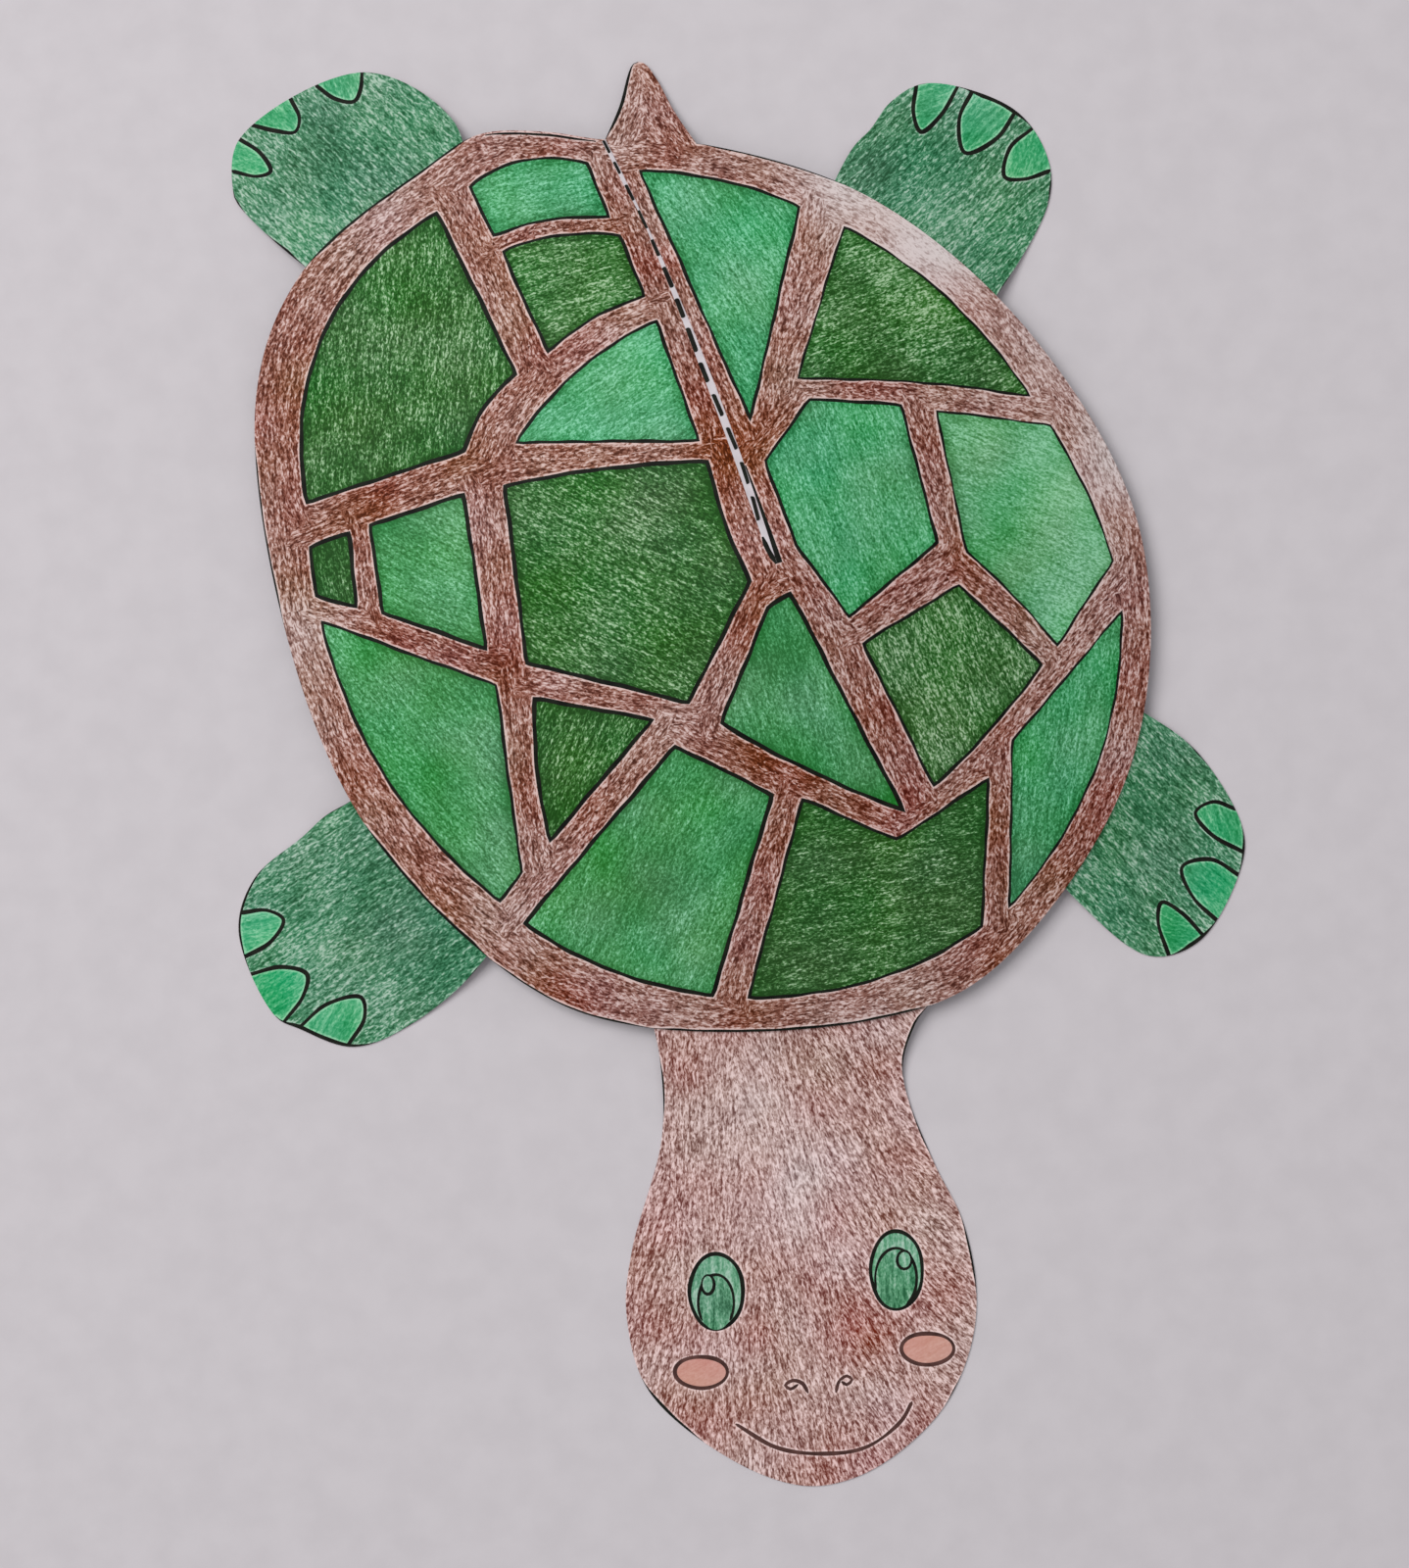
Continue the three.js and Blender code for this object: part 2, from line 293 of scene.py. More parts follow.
# %% Corners, pencils and strokes
DARK = "dark_green"
LEAF = "leaf_green"
CLEAR = "clear_green"
FINE, USUAL, BOLD = 0.5, 0.65, 0.85     # mm, the marker drawn fast, evenly and slowly
SCUTES = [
    (DARK, BOLD, 80, 0.12, [(-78.7, 25.6, 11), (-45.5, 82, 0), (-32.7, 46, -1.5), (-44.9, 31.8, 0)]),
    (CLEAR, USUAL, 6, -0.06, [(-38.3, 86.4, 3.1), (-13.7, 88.7, 0), (-10.4, 76.5, -1.4),
                              (-34.4, 75.3, 0)]),
    (DARK, USUAL, 8, -0.04, [(-32.9, 71.9, 1.6), (-8.7, 72.5, 0), (-5.1, 59, -1.2),
                             (-25.8, 49.7, 0)]),
    (CLEAR, USUAL, 28, -0.1, [(-34.1, 32, 2.8), (-3.2, 53.5, 0), (2.6, 27.7, 0)]),
    (CLEAR, USUAL, 118, -0.02, [(-3.2, 85.9, 1.8), (28.6, 74.8, 0), (13.3, 30.9, 0)]),
    (DARK, FINE, 15, 0.17, [(37.2, 69.8, 3.4), (71.2, 30.8, -1), (23.7, 38.4, 0)]),
    (CLEAR, USUAL, 105, -0.04, [(15.2, 22.2, 0), (25.7, 34, 0), (44.2, 31.1, 0), (48.1, 2.4, 0),
                                (28.4, -10.9, 0), (19.5, 4.4, 0)]),
    (LEAF, FINE, 152, -0.12, [(51.2, 29.4, 0), (74.7, 24.4, 1), (84.4, -4.7, 0),
                              (70.7, -20.8, -0.7), (53.9, -0.2, 0)]),
    (DARK, USUAL, 108, 0.0, [(51.6, -6.5, 0), (67.1, -24.3, 0.9), (42.2, -46.4, 0),
                             (30.7, -16.4, 0)]),
    (CLEAR, FINE, 75, 0.06, [(85.1, -15.1, 6.5), (55.4, -72.8, 0), (59.4, -38.9, 0)]),
    (DARK, BOLD, 145, 0.12, [(-37.5, 23.6, 0.9), (3.9, 23.4, -1), (9.6, -1.7, 0),
                             (-5.4, -24.2, 0), (-37, -12.5, 0)]),
    (LEAF, BOLD, 145, 0.1, [(-66, 19.4, 0), (-46, 23.1, 0), (-45, -8.7, 0), (-65.5, 1.3, 0)]),
    (DARK, BOLD, 95, 0.26, [(-79.2, 16.6, 0), (-70.6, 18.4, 0), (-70.8, 3.1, 0), (-79.1, 6.4, 0)]),
    (LEAF, USUAL, 125, 0.1, [(-78.5, 1.2, 0), (-43.8, -16.1, 0), (-43.2, -54.5, 0),
                             (-48.4, -60.1, 6)]),
    (DARK, BOLD, 60, 0.2, [(-36.4, -19.7, 0), (-12.9, -26.8, 0), (-36.6, -48.8, 1)]),
    (LEAF, BOLD, 100, 0.14, [(17.2, -4.9, 0), (35.5, -50.6, 1), (0.7, -29, 0), (12.4, -7.3, 0)]),
    (LEAF, BOLD, 60, 0.17, [(-9.1, -32.5, 0), (9.4, -44.5, 0), (-7.2, -84.2, 2.5),
                            (-44, -65.1, 0)]),
    (DARK, USUAL, 4, 0.15, [(15.3, -46, 0), (33.5, -56.4, 0), (53.6, -46.2, 0), (49.4, -76.2, 4),
                            (0.1, -85.4, 0)]),
]
SIDE_STEP = 1.4
CORNER_HOLD = 7     # how firmly a corner keeps its place when the line is eased


def scute_line(corners):
    """The closed line through a scute's corners, anticlockwise, with its corners eased."""
    spots = np.array([corner[:2] for corner in corners], float)
    bows = np.array([corner[2] for corner in corners], float)
    following = np.roll(spots, -1, 0)
    turning = np.sign(np.sum(spots[:, 0] * following[:, 1] - following[:, 0] * spots[:, 1]))
    sides = []
    for start, end, bow in zip(spots, following, bows):
        run = end - start
        length = np.linalg.norm(run)
        out = turning * np.array([run[1], -run[0]]) / length
        t = np.linspace(0, 1, max(3, round(length / SIDE_STEP)), endpoint=False)[:, None]
        sides.append(start + t * run + 4 * bow * t * (1 - t) * out)
    line = np.vstack(sides)
    line = (np.roll(line, 1, 0) + CORNER_HOLD * line + np.roll(line, -1, 0)) / (CORNER_HOLD + 2)
    return line if turning > 0 else line[::-1]


SCUTE_LINES = [scute_line(corners) for *_, corners in SCUTES]
print(len(SCUTES), "scutes,", round(sum(length_along(line)[-1] for line in SCUTE_LINES)),
      "mm of marker line")

# %% [markdown]
# ## A sheet cut along its drawing
#
# To give each drawn area its own material without an image, the sheet's faces have to follow the
# drawing. A constrained Delaunay triangulation does that: it fills an outline with triangles and
# never crosses the lines it is given. Spare points beside the lines and on a grid keep the
# triangles small, so that the sheet can bend and values can change across a narrow band. Each
# triangle then takes the pencil of the last shape that covers it, just as a later layer of colour
# covers an earlier one.

# %% Points, shapes and distances
GRID = 2.2      # mm between spare points
CROWDED = 0.62  # share of its usual gap at which a spare point is left out
BESIDE = 0.6    # mm from a line to the row of spare points along each side of it
SAME_POINT = 1e-5


def inside(points, shape):
    """Which points lie within a closed shape."""
    x, y = points[:, 0, None], points[:, 1, None]
    x0, y0 = shape.T
    x1, y1 = np.roll(shape, -1, 0).T
    passes = (y0 > y) != (y1 > y)
    rise = np.where(y1 == y0, 1, y1 - y0)
    return ((passes & (x < x0 + (y - y0) * (x1 - x0) / rise)).sum(1) % 2) == 1


def nearest(points, line, closed=True):
    """Distance from each point to a line, and the line's direction there in degrees."""
    ends = np.roll(line, -1, 0) if closed else line[1:]
    starts = line if closed else line[:-1]
    runs = ends - starts
    away = points[:, None] - starts
    t = np.clip((away * runs).sum(2) / (runs**2).sum(1), 0, 1)
    gaps = np.linalg.norm(away - t[..., None] * runs, axis=2)
    best = gaps.argmin(1)
    headings = np.degrees(np.arctan2(runs[:, 1], runs[:, 0]))
    return gaps[np.arange(len(points)), best], headings[best]


def triangulate(outline, shapes, seams=()):
    """Corner points and triangles that fill the outline and follow every shape and seam."""
    points = []
    edges = []
    for shape in (outline, *shapes):
        first = len(points)
        points.extend(shape)
        edges.extend((first + i, first + (i + 1) % len(shape)) for i in range(len(shape)))
    for seam in seams:
        first = len(points)
        points.extend(seam)
        edges.extend((first + i, first + i + 1) for i in range(len(seam) - 1))
    taken = KDTree(len(points))
    for i, point in enumerate(points):
        taken.insert((*point, 0), i)
    taken.balance()
    filled = set()
    for shape in (outline, *shapes):
        for side in (-BESIDE, BESIDE):
            for point in shape + side * sideways(shape, closed=True):
                cell = tuple(np.round(point / BESIDE))
                if cell not in filled and taken.find((*point, 0))[2] > CROWDED * BESIDE:
                    filled.add(cell)
                    points.append(tuple(point))
    low, high = outline.min(0), outline.max(0)
    for row, y in enumerate(np.arange(low[1], high[1], GRID * math.sqrt(3) / 2)):
        for x in np.arange(low[0] + (row % 2) * GRID / 2, high[0], GRID):
            if taken.find((x, y, 0))[2] > CROWDED * GRID:
                points.append((x, y))
    spots, _, faces, *_ = delaunay_2d_cdt([Vector(p) for p in points], edges, [], 0, SAME_POINT)
    spots = np.array([tuple(spot) for spot in spots])
    faces = np.array(faces)
    faces = faces[inside(spots[faces].mean(1), outline)]
    used, faces = np.unique(faces, return_inverse=True)
    faces = faces.reshape(-1, 3)
    spots = spots[used]
    a, b, c = spots[faces].transpose(1, 0, 2)
    clockwise = np.cross(b - a, c - a) < 0
    faces[clockwise] = faces[clockwise][:, ::-1]
    return spots, faces


# %% [markdown]
# ## How a sheet's faces are painted
#
# A layer is a pencil or pen, the shape that it fills, the direction of its strokes, and how hard
# it was pressed. The strokes' direction goes into a UV map measured in millimetres, one stroke
# lying along U, so a material can stretch its pattern along it. A soft spot is a place where the
# hand pressed harder or let up, whatever was being filled; a few on the neck beside the shell's
# rim are painted shade instead, denser pencil where the rim shades the neck.

# %% The order of the paints
PAINTS = ["brown", "light_brown", "dark_green", "leaf_green", "clear_green", "sea_green",
          "bright_green", "eye_green", "pink", "black", "dark_brown", "card"]
INKS = ("black", "dark_brown")


def paint_faces(spots, faces, ground, layers):
    """Paint number, stroke direction and pressure of every triangle."""
    middles = spots[faces].mean(1)
    paint = np.full(len(faces), PAINTS.index(ground[0]))
    hatch = np.full(len(faces), float(ground[1]))
    pressure = np.full(len(faces), float(ground[2]))
    for name, shape, direction, press in layers:
        covered = inside(middles, shape)
        paint[covered] = PAINTS.index(name)
        hatch[covered] = direction
        pressure[covered] = press
    return paint, hatch, pressure


def soft_spots(points, spots):
    """Sum of the soft spots (x, y, radius, amount) at each point: pressure, and by the rim painted
    shade.
    """
    total = np.zeros(len(points))
    for x, y, radius, amount in spots:
        total += amount * np.exp(-((points[:, 0] - x) ** 2 + (points[:, 1] - y) ** 2) / radius**2)
    return total


def line_gap(points, layers, reach=4.0):
    """Distance from each point to the nearest ink, up to a reach."""
    gap = np.full(len(points), reach)
    for name, shape, *_ in layers:
        if name not in INKS:
            continue
        low, high = shape.min(0) - reach, shape.max(0) + reach
        close = np.flatnonzero(((points > low) & (points < high)).all(1))
        if len(close):
            gap[close] = np.minimum(gap[close], nearest(points[close], shape)[0])
    return gap


# %% [markdown]
# ## Colours and nodes
#
# Hex colours are in sRGB, and shaders work in linear light, so one function converts them. One
# more adds any node with its settings and its inputs, and serves every material and every Geometry
# Nodes tree below. The others start a material and put an object into the scene, or take the mesh
# that an object's modifiers make.

# %% A few helpers
def colour(code):
    """An sRGB hex colour as the linear colour that a shader reads."""
    parts = [int(code[i:i + 2], 16) / 255 for i in (1, 3, 5)]
    return (*(c / 12.92 if c <= 0.04045 else ((c + 0.055) / 1.055) ** 2.4 for c in parts), 1.0)


def add_node(tree, kind, settings=None, inputs=None):
    """Adds a node; an input is given by its name or number, as a value or as a socket to link."""
    node = tree.nodes.new(kind)
    for name, value in (settings or {}).items():
        setattr(node, name, value)
    for key, value in (inputs or {}).items():
        if isinstance(value, bpy.types.NodeSocket):
            tree.links.new(value, node.inputs[key])
        else:
            node.inputs[key].default_value = value
    return node


def empty_material(name):
    """A material whose node tree is still empty."""
    material = bpy.data.materials.new(name)
    material.use_nodes = True
    material.node_tree.nodes.clear()
    return material


def put_in_scene(name, data):
    """A new object in the scene, which shows the data."""
    thing = bpy.data.objects.new(name, data)
    bpy.context.scene.collection.objects.link(thing)
    return thing


def made_by_modifiers(thing):
    """The mesh that an object's modifiers make."""
    bpy.context.view_layer.update()
    graph = bpy.context.evaluated_depsgraph_get()
    return bpy.data.meshes.new_from_object(thing.evaluated_get(graph))


# %% [markdown]
# ## Coloured pencil on drawing card
#
# Wax pencil catches on the card's tooth, little hills under a millimetre apart, and skips the
# dips between them. So the finish is bare card speckled through colour, in grains that are longer
# along the stroke. On top of that come single strokes, and slow changes in pressure, hue and
# purity. A light hand leaves less contrast. Pencilled edges are pressed harder, or stop short of
# the ink. An image could hold all that for one drawing;
# noise at the real sizes serves any of them. The finish is matt, with a faint waxy gloss where
# the colour is dense.

# %% The pencil finish
MATT = 0.12             # rough, open surfaces mirror far less than smooth ones of the same stuff
TOOTH_GRAIN = 0.43      # mm between the card's hills
STROKE_WIDTH = 0.9      # mm
STROKE_LENGTH = 5.5     # mm
PRESSURE_DRIFT = 16.0   # mm between hard and soft patches
MARGIN = (0.1, 0.55)    # mm from the ink: where a fill starts to stop short, and where it is whole
PRESSED_EDGE = (0.6, 2.6)   # mm from the ink: where a fill's edge is pressed, and where no more
LIGHT_HAND = (-0.5, 0.4)    # at so low a pressure, the share of the unevenness that is left
HUE_SWING = 0.02            # of the colour wheel, how far a hue wanders from patch to patch
PURITY_SWING = 0.4          # how far the purity of a colour wanders in the same way
TOOTH_DEPTH = 0.05 * MM
PALE_ROUGHNESS, WAX_ROUGHNESS = 0.9, 0.62
CARD_IOR = 1.45


def halfway(first, second):
    """The hex colour halfway between two others."""
    pairs = zip(bytes.fromhex(first[1:]), bytes.fromhex(second[1:]))
    return "#" + bytes((a + b) // 2 for a, b in pairs).hex()


def pencil(name, pale, usual, deepest, tooth, strokes, drift, margin=0.0, edge=0.0, stretch=1.9,
           deepening=0.0):
    """A pencil on card, from its palest touch over its usual colour to its densest wax.
    Stretch says how much longer a grain is along the stroke than across it, and deepening how
    much purer the colour gets where the hand presses."""
    material = empty_material(name)
    tree = material.node_tree
    place = add_node(tree, "ShaderNodeTexCoord")
    along = add_node(tree, "ShaderNodeUVMap", {"uv_map": "strokes"})
    grain_size = add_node(tree, "ShaderNodeMapping", None, {
        "Vector": along.outputs["UV"],
        "Scale": (1 / (TOOTH_GRAIN * stretch), 1 / TOOTH_GRAIN, 1)})
    grain = add_node(tree, "ShaderNodeTexNoise", None, {
        "Vector": grain_size.outputs["Vector"], "Scale": 1.0, "Detail": 2.5,
        "Roughness": 0.62, "Distortion": 0.5})
    stroke_size = add_node(tree, "ShaderNodeMapping", None, {
        "Vector": along.outputs["UV"], "Scale": (1 / STROKE_LENGTH, 1 / STROKE_WIDTH, 1)})
    stroke = add_node(tree, "ShaderNodeTexNoise", None, {
        "Vector": stroke_size.outputs["Vector"], "Scale": 1.0, "Detail": 2.0})
    slow = add_node(tree, "ShaderNodeTexNoise", None, {
        "Vector": place.outputs["Object"], "Scale": 1 / (PRESSURE_DRIFT * MM), "Detail": 1.0})
    pressure = add_node(tree, "ShaderNodeAttribute", {"attribute_name": "pressure"})
    gap = add_node(tree, "ShaderNodeAttribute", {"attribute_name": "ink_gap"})
    uneven = -(tooth + strokes + drift) / 2
    for source, gain in ((grain, tooth), (stroke, strokes), (slow, drift)):
        uneven = add_node(tree, "ShaderNodeMath", {"operation": "MULTIPLY_ADD"}, {
            0: source.outputs["Fac"], 1: gain, 2: uneven}).outputs["Value"]
    grip = add_node(tree, "ShaderNodeMapRange", None, {
        "Value": pressure.outputs["Fac"], "From Min": LIGHT_HAND[0], "From Max": 0.0,
        "To Min": LIGHT_HAND[1], "To Max": 1.0})
    dense = add_node(tree, "ShaderNodeMath", {"operation": "MULTIPLY_ADD"}, {
        0: uneven, 1: grip.outputs["Result"], 2: pressure.outputs["Fac"]}).outputs["Value"]
    for gain, (full, none) in ((margin, MARGIN), (edge, PRESSED_EDGE)):
        near = add_node(tree, "ShaderNodeMapRange", {"interpolation_type": "SMOOTHSTEP"}, {
            "Value": gap.outputs["Fac"], "From Min": full, "From Max": none,
            "To Min": 2 * gain, "To Max": 0.0})
        fitful = add_node(tree, "ShaderNodeMath", {"operation": "MULTIPLY_ADD"}, {
            0: near.outputs["Result"], 1: slow.outputs["Fac"], 2: dense})
        dense = fitful.outputs["Value"]
    amount = add_node(tree, "ShaderNodeMapRange", None, {
        "Value": dense, "From Min": -0.5, "From Max": 0.5})
    ramp = add_node(tree, "ShaderNodeValToRGB", None, {"Fac": amount.outputs["Result"]})
    stops = ramp.color_ramp.elements
    stops[0].color, stops[1].color = colour(pale), colour(deepest)
    between = (halfway(pale, usual), usual, halfway(usual, deepest))
    for position, shade in zip((0.25, 0.5, 0.75), between):
        stops.new(position).color = colour(shade)
    apart = add_node(tree, "ShaderNodeSeparateColor", None, {"Color": slow.outputs["Color"]})
    hue = add_node(tree, "ShaderNodeMapRange", None, {
        "Value": apart.outputs["Green"], "To Min": 0.5 - HUE_SWING, "To Max": 0.5 + HUE_SWING})
    purity = 1 - deepening * drift / 2 - PURITY_SWING / 2
    for source, gain in ((pressure.outputs["Fac"], deepening),
                         (slow.outputs["Fac"], deepening * drift),
                         (apart.outputs["Blue"], PURITY_SWING)):
        purity = add_node(tree, "ShaderNodeMath", {"operation": "MULTIPLY_ADD"}, {
            0: source, 1: gain, 2: purity}).outputs["Value"]
    tinted = add_node(tree, "ShaderNodeHueSaturation", None, {
        "Color": ramp.outputs["Color"], "Hue": hue.outputs["Result"], "Saturation": purity})
    rough = add_node(tree, "ShaderNodeMapRange", None, {
        "Value": amount.outputs["Result"], "To Min": PALE_ROUGHNESS,
        "To Max": WAX_ROUGHNESS})
    bump = add_node(tree, "ShaderNodeBump", None, {
        "Height": grain.outputs["Fac"], "Strength": 0.5, "Distance": TOOTH_DEPTH})
    surface = add_node(tree, "ShaderNodeBsdfPrincipled", None, {
        "Base Color": tinted.outputs["Color"], "Roughness": rough.outputs["Result"],
        "Normal": bump.outputs["Normal"], "IOR": CARD_IOR, "Specular IOR Level": MATT})
    add_node(tree, "ShaderNodeOutputMaterial", None, {"Surface": surface.outputs["BSDF"]})
    return material


# %% [markdown]
# ## The pencils in the box
#
# Nine kinds of pencilling colour the turtle. Each has three colours: its palest, over bare card,
# its usual one, and its densest wax. The material works out the shades between them.

# %% Nine kinds of pencilling
MATERIALS = {
    # Loose red-brown strokes that leave much of the card showing, darker at the crossings.
    "brown": pencil("brown_pencil_on_card", "#d5bab4", "#916052", "#4a1f12",
                    tooth=3.3, strokes=1.7, drift=0.4, margin=-0.5, stretch=2.5, deepening=1.2),
    # The same pencil held lightly on the head, so that it never gets dense.
    "light_brown": pencil("light_brown_pencil_on_card", "#e8ccc8", "#b08c84", "#683830",
                          tooth=3.4, strokes=1.8, drift=0.3, margin=-0.4, stretch=2.6,
                          deepening=1.6),
    # Dark green laid on in two goes, with pale flecks where the card's dips stay bare.
    "dark_green": pencil("dark_green_pencil_on_card", "#a6c59f", "#42763c", "#1b4614",
                         tooth=3.3, strokes=1.5, drift=0.7, margin=-0.3, edge=0.25,
                         stretch=2.0),
    # Leaf green, rubbed in until little card shows.
    "leaf_green": pencil("leaf_green_pencil_on_card", "#8fcfa4", "#509a60", "#2a6c34",
                         tooth=2.6, strokes=1.1, drift=0.7, margin=-0.3, edge=0.25,
                         stretch=1.7, deepening=0.15),
    # A clearer, bluer green, used in the same way on the scutes by the tail and the middle.
    "clear_green": pencil("clear_green_pencil_on_card", "#88cfa8", "#489c66", "#206c38",
                          tooth=2.6, strokes=1.1, drift=0.7, margin=-0.3, edge=0.25,
                          stretch=1.7),
    # Blue-green on the legs, with long loose strokes.
    "sea_green": pencil("sea_green_pencil_on_card", "#a8c4b0", "#488460", "#1c5030",
                        tooth=2.7, strokes=1.5, drift=0.6, margin=-0.2, stretch=2.4),
    # The claws' clear green, smooth and pale next to their outlines.
    "bright_green": pencil("bright_green_pencil_on_card", "#8ccba1", "#40a06c", "#107840",
                           tooth=1.6, strokes=1.2, drift=0.8, margin=-0.4),
    # The eyes' green, between the two.
    "eye_green": pencil("eye_green_pencil_on_card", "#a8c8b4", "#609c78", "#286040",
                        tooth=1.6, strokes=1.8, drift=0.3, margin=-0.1),
    # Pale pink, rubbed quite smooth on the cheeks.
    "pink": pencil("pink_pencil_on_card", "#dcb3a8", "#c9968a", "#b97f71",
                   tooth=0.8, strokes=0.6, drift=0.2),
}
print("pencils:", ", ".join(sorted(MATERIALS)))

# %% [markdown]
# ## Marker ink and bare card
#
# Felt-tip ink soaks into the card, so it stays matt and shows a little of the tooth; where the pen
# moved fast it is a shade thinner. The bare card is off-white, with a soft fibre mottle. It shows
# underneath, on the cut edges and beside the dashes.

# %% Ink and card
INK_PATCH = 3.0   # mm between thin and full places in a marker line
CARD_FIBRE = 0.5  # mm, drawn about three times coarser than real fibres, so that it shows


def soaked(name, thin, full, patch, roughness):
    """A matt, nearly even finish that varies between two colours over patches of a size."""
    material = empty_material(name)
    tree = material.node_tree
    place = add_node(tree, "ShaderNodeTexCoord")
    mottle = add_node(tree, "ShaderNodeTexNoise", None, {
        "Vector": place.outputs["Object"], "Scale": 1 / (patch * MM), "Detail": 3.0})
    spread = add_node(tree, "ShaderNodeMapRange", None, {
        "Value": mottle.outputs["Fac"], "From Min": 0.35, "From Max": 0.65})
    mix = add_node(tree, "ShaderNodeMix", {"data_type": "RGBA"}, {
        0: spread.outputs["Result"], 6: colour(thin), 7: colour(full)})
    fibre = add_node(tree, "ShaderNodeTexNoise", None, {
        "Vector": place.outputs["Object"], "Scale": 1 / (CARD_FIBRE * MM), "Detail": 2.0})
    bump = add_node(tree, "ShaderNodeBump", None, {
        "Height": fibre.outputs["Fac"], "Strength": 0.3, "Distance": TOOTH_DEPTH})
    surface = add_node(tree, "ShaderNodeBsdfPrincipled", None, {
        "Base Color": mix.outputs[2], "Roughness": roughness,
        "Normal": bump.outputs["Normal"], "IOR": CARD_IOR, "Specular IOR Level": MATT})
    add_node(tree, "ShaderNodeOutputMaterial", None, {"Surface": surface.outputs["BSDF"]})
    return material


MATERIALS["black"] = soaked("black_marker_ink", "#191c14", "#090a06", INK_PATCH, 0.6)
MATERIALS["dark_brown"] = soaked("dark_brown_marker_ink", "#5a3c37", "#3d2723", INK_PATCH, 0.6)
MATERIALS["card"] = soaked("bare_drawing_card", "#c6bfc3", "#d0cacd", CARD_FIBRE * 4, 0.85)

# %% [markdown]
# ## The dome as a rule
#
# The shell's height follows one rule everywhere, so it suits Geometry Nodes. Within the rim it is
# a cone with a rounded peak, as a lapped disc is. Beyond the rim the tail leaves that slope and
# levels out on the table. The head and the legs obey the same rule from a little lower, because
# they are glued underneath. The sheets arrive flat, with what the rule needs as attributes on
# their points: distance from the peak, how far the rim is that way, the rim's waviness, and how
# much of the lap's step applies. At its end the tree gives the bare card to the faces that hold
# no drawing.

# %% The dome's tree
CARD = 0.4
GLUE_GAP = 0.3
DOME_HEIGHT = 24.0
RIM_TOP = 4.1
APEX_ROUNDING = 0.03
LAP_STEP = CARD + 0.05

dome = bpy.data.node_groups.new("Lay a sheet on the dome", "GeometryNodeTree")
dome.interface.new_socket("Sheet", in_out="INPUT", socket_type="NodeSocketGeometry")
for socket_name, socket_value in (
        ("Dome height", DOME_HEIGHT), ("Rim height", RIM_TOP), ("Peak rounding", APEX_ROUNDING),
        ("Card", CARD), ("Lap step", LAP_STEP), ("Depth below shell", 0.0)):
    socket = dome.interface.new_socket(socket_name, in_out="INPUT", socket_type="NodeSocketFloat")
    socket.default_value = socket_value
dome.interface.new_socket("Bare card", in_out="INPUT", socket_type="NodeSocketMaterial")
dome.interface.new_socket("Sheet", in_out="OUTPUT", socket_type="NodeSocketGeometry")
given = add_node(dome, "NodeGroupInput").outputs
known = {name: given[name] for name in ("Dome height", "Rim height", "Peak rounding", "Card",
                                        "Lap step", "Depth below shell")}
for name in ("distance", "rim_reach", "rim_wave", "lap"):
    known[name] = add_node(dome, "GeometryNodeInputNamedAttribute", {"data_type": "FLOAT"},
                           {"Name": name}).outputs["Attribute"]
# Each step is a name, an operation, and the values or earlier names that it works on.
RULE = [
    ("share", "DIVIDE", "distance", "rim_reach"),
    ("share squared", "MULTIPLY", "share", "share"),
    ("rounding squared", "MULTIPLY", "Peak rounding", "Peak rounding"),
    ("both", "ADD", "share squared", "rounding squared"),
    ("rounded share", "SQRT", "both"),
    ("still to climb", "SUBTRACT", 1.0, "rounded share"),
    ("cone", "MULTIPLY_ADD", "still to climb", "Dome height", "Rim height"),
    ("waved cone", "MULTIPLY_ADD", "rim_wave", "share squared", "cone"),
    ("within", "SUBTRACT", "waved cone", "Depth below shell"),
    ("rim here", "ADD", "Rim height", "rim_wave"),
    ("rim above card", "SUBTRACT", "rim here", "Card"),
    ("drop", "SUBTRACT", "rim above card", "Depth below shell"),
    ("slope", "DIVIDE", "Dome height", "rim_reach"),
    ("twice the drop", "MULTIPLY", "drop", 2.0),
    ("run-out", "DIVIDE", "twice the drop", "slope"),
    ("past the rim", "SUBTRACT", "distance", "rim_reach"),
    ("part run", "DIVIDE", "past the rim", "run-out"),
    ("part run, at most one", "MINIMUM", "part run", 1.0),
    ("part left", "SUBTRACT", 1.0, "part run, at most one"),
    ("part left squared", "MULTIPLY", "part left", "part left"),
    ("beyond", "MULTIPLY_ADD", "part left squared", "drop", "Card"),
    ("is beyond", "GREATER_THAN", "distance", "rim_reach"),
    ("beyond minus within", "SUBTRACT", "beyond", "within"),
    ("height", "MULTIPLY_ADD", "is beyond", "beyond minus within", "within"),
    ("step down", "MULTIPLY", "lap", "Lap step"),
    ("lapped height", "SUBTRACT", "height", "step down"),
    ("in metres", "MULTIPLY", "lapped height", MM),
]
for name, operation, *values in RULE:
    sources = {number: known.get(value, value) for number, value in enumerate(values)}
    step = add_node(dome, "ShaderNodeMath", {"operation": operation, "label": name}, sources)
    known[name] = step.outputs["Value"]
lift = add_node(dome, "ShaderNodeCombineXYZ", None, {"Z": known["in metres"]})
raised = add_node(dome, "GeometryNodeSetPosition", None, {
    "Geometry": given["Sheet"], "Offset": lift.outputs["Vector"]})
real = add_node(dome, "GeometryNodeRealizeInstances", None, {
    "Geometry": raised.outputs["Geometry"]})
is_bare = add_node(dome, "GeometryNodeInputNamedAttribute", {"data_type": "BOOLEAN"},
                   {"Name": "is_bare"})
dressed = add_node(dome, "GeometryNodeSetMaterial", None, {
    "Geometry": real.outputs["Geometry"], "Selection": is_bare.outputs["Attribute"],
    "Material": given["Bare card"]})
add_node(dome, "NodeGroupOutput", None, {"Sheet": dressed.outputs["Geometry"]})
print("the dome's tree has", len(dome.nodes), "nodes")

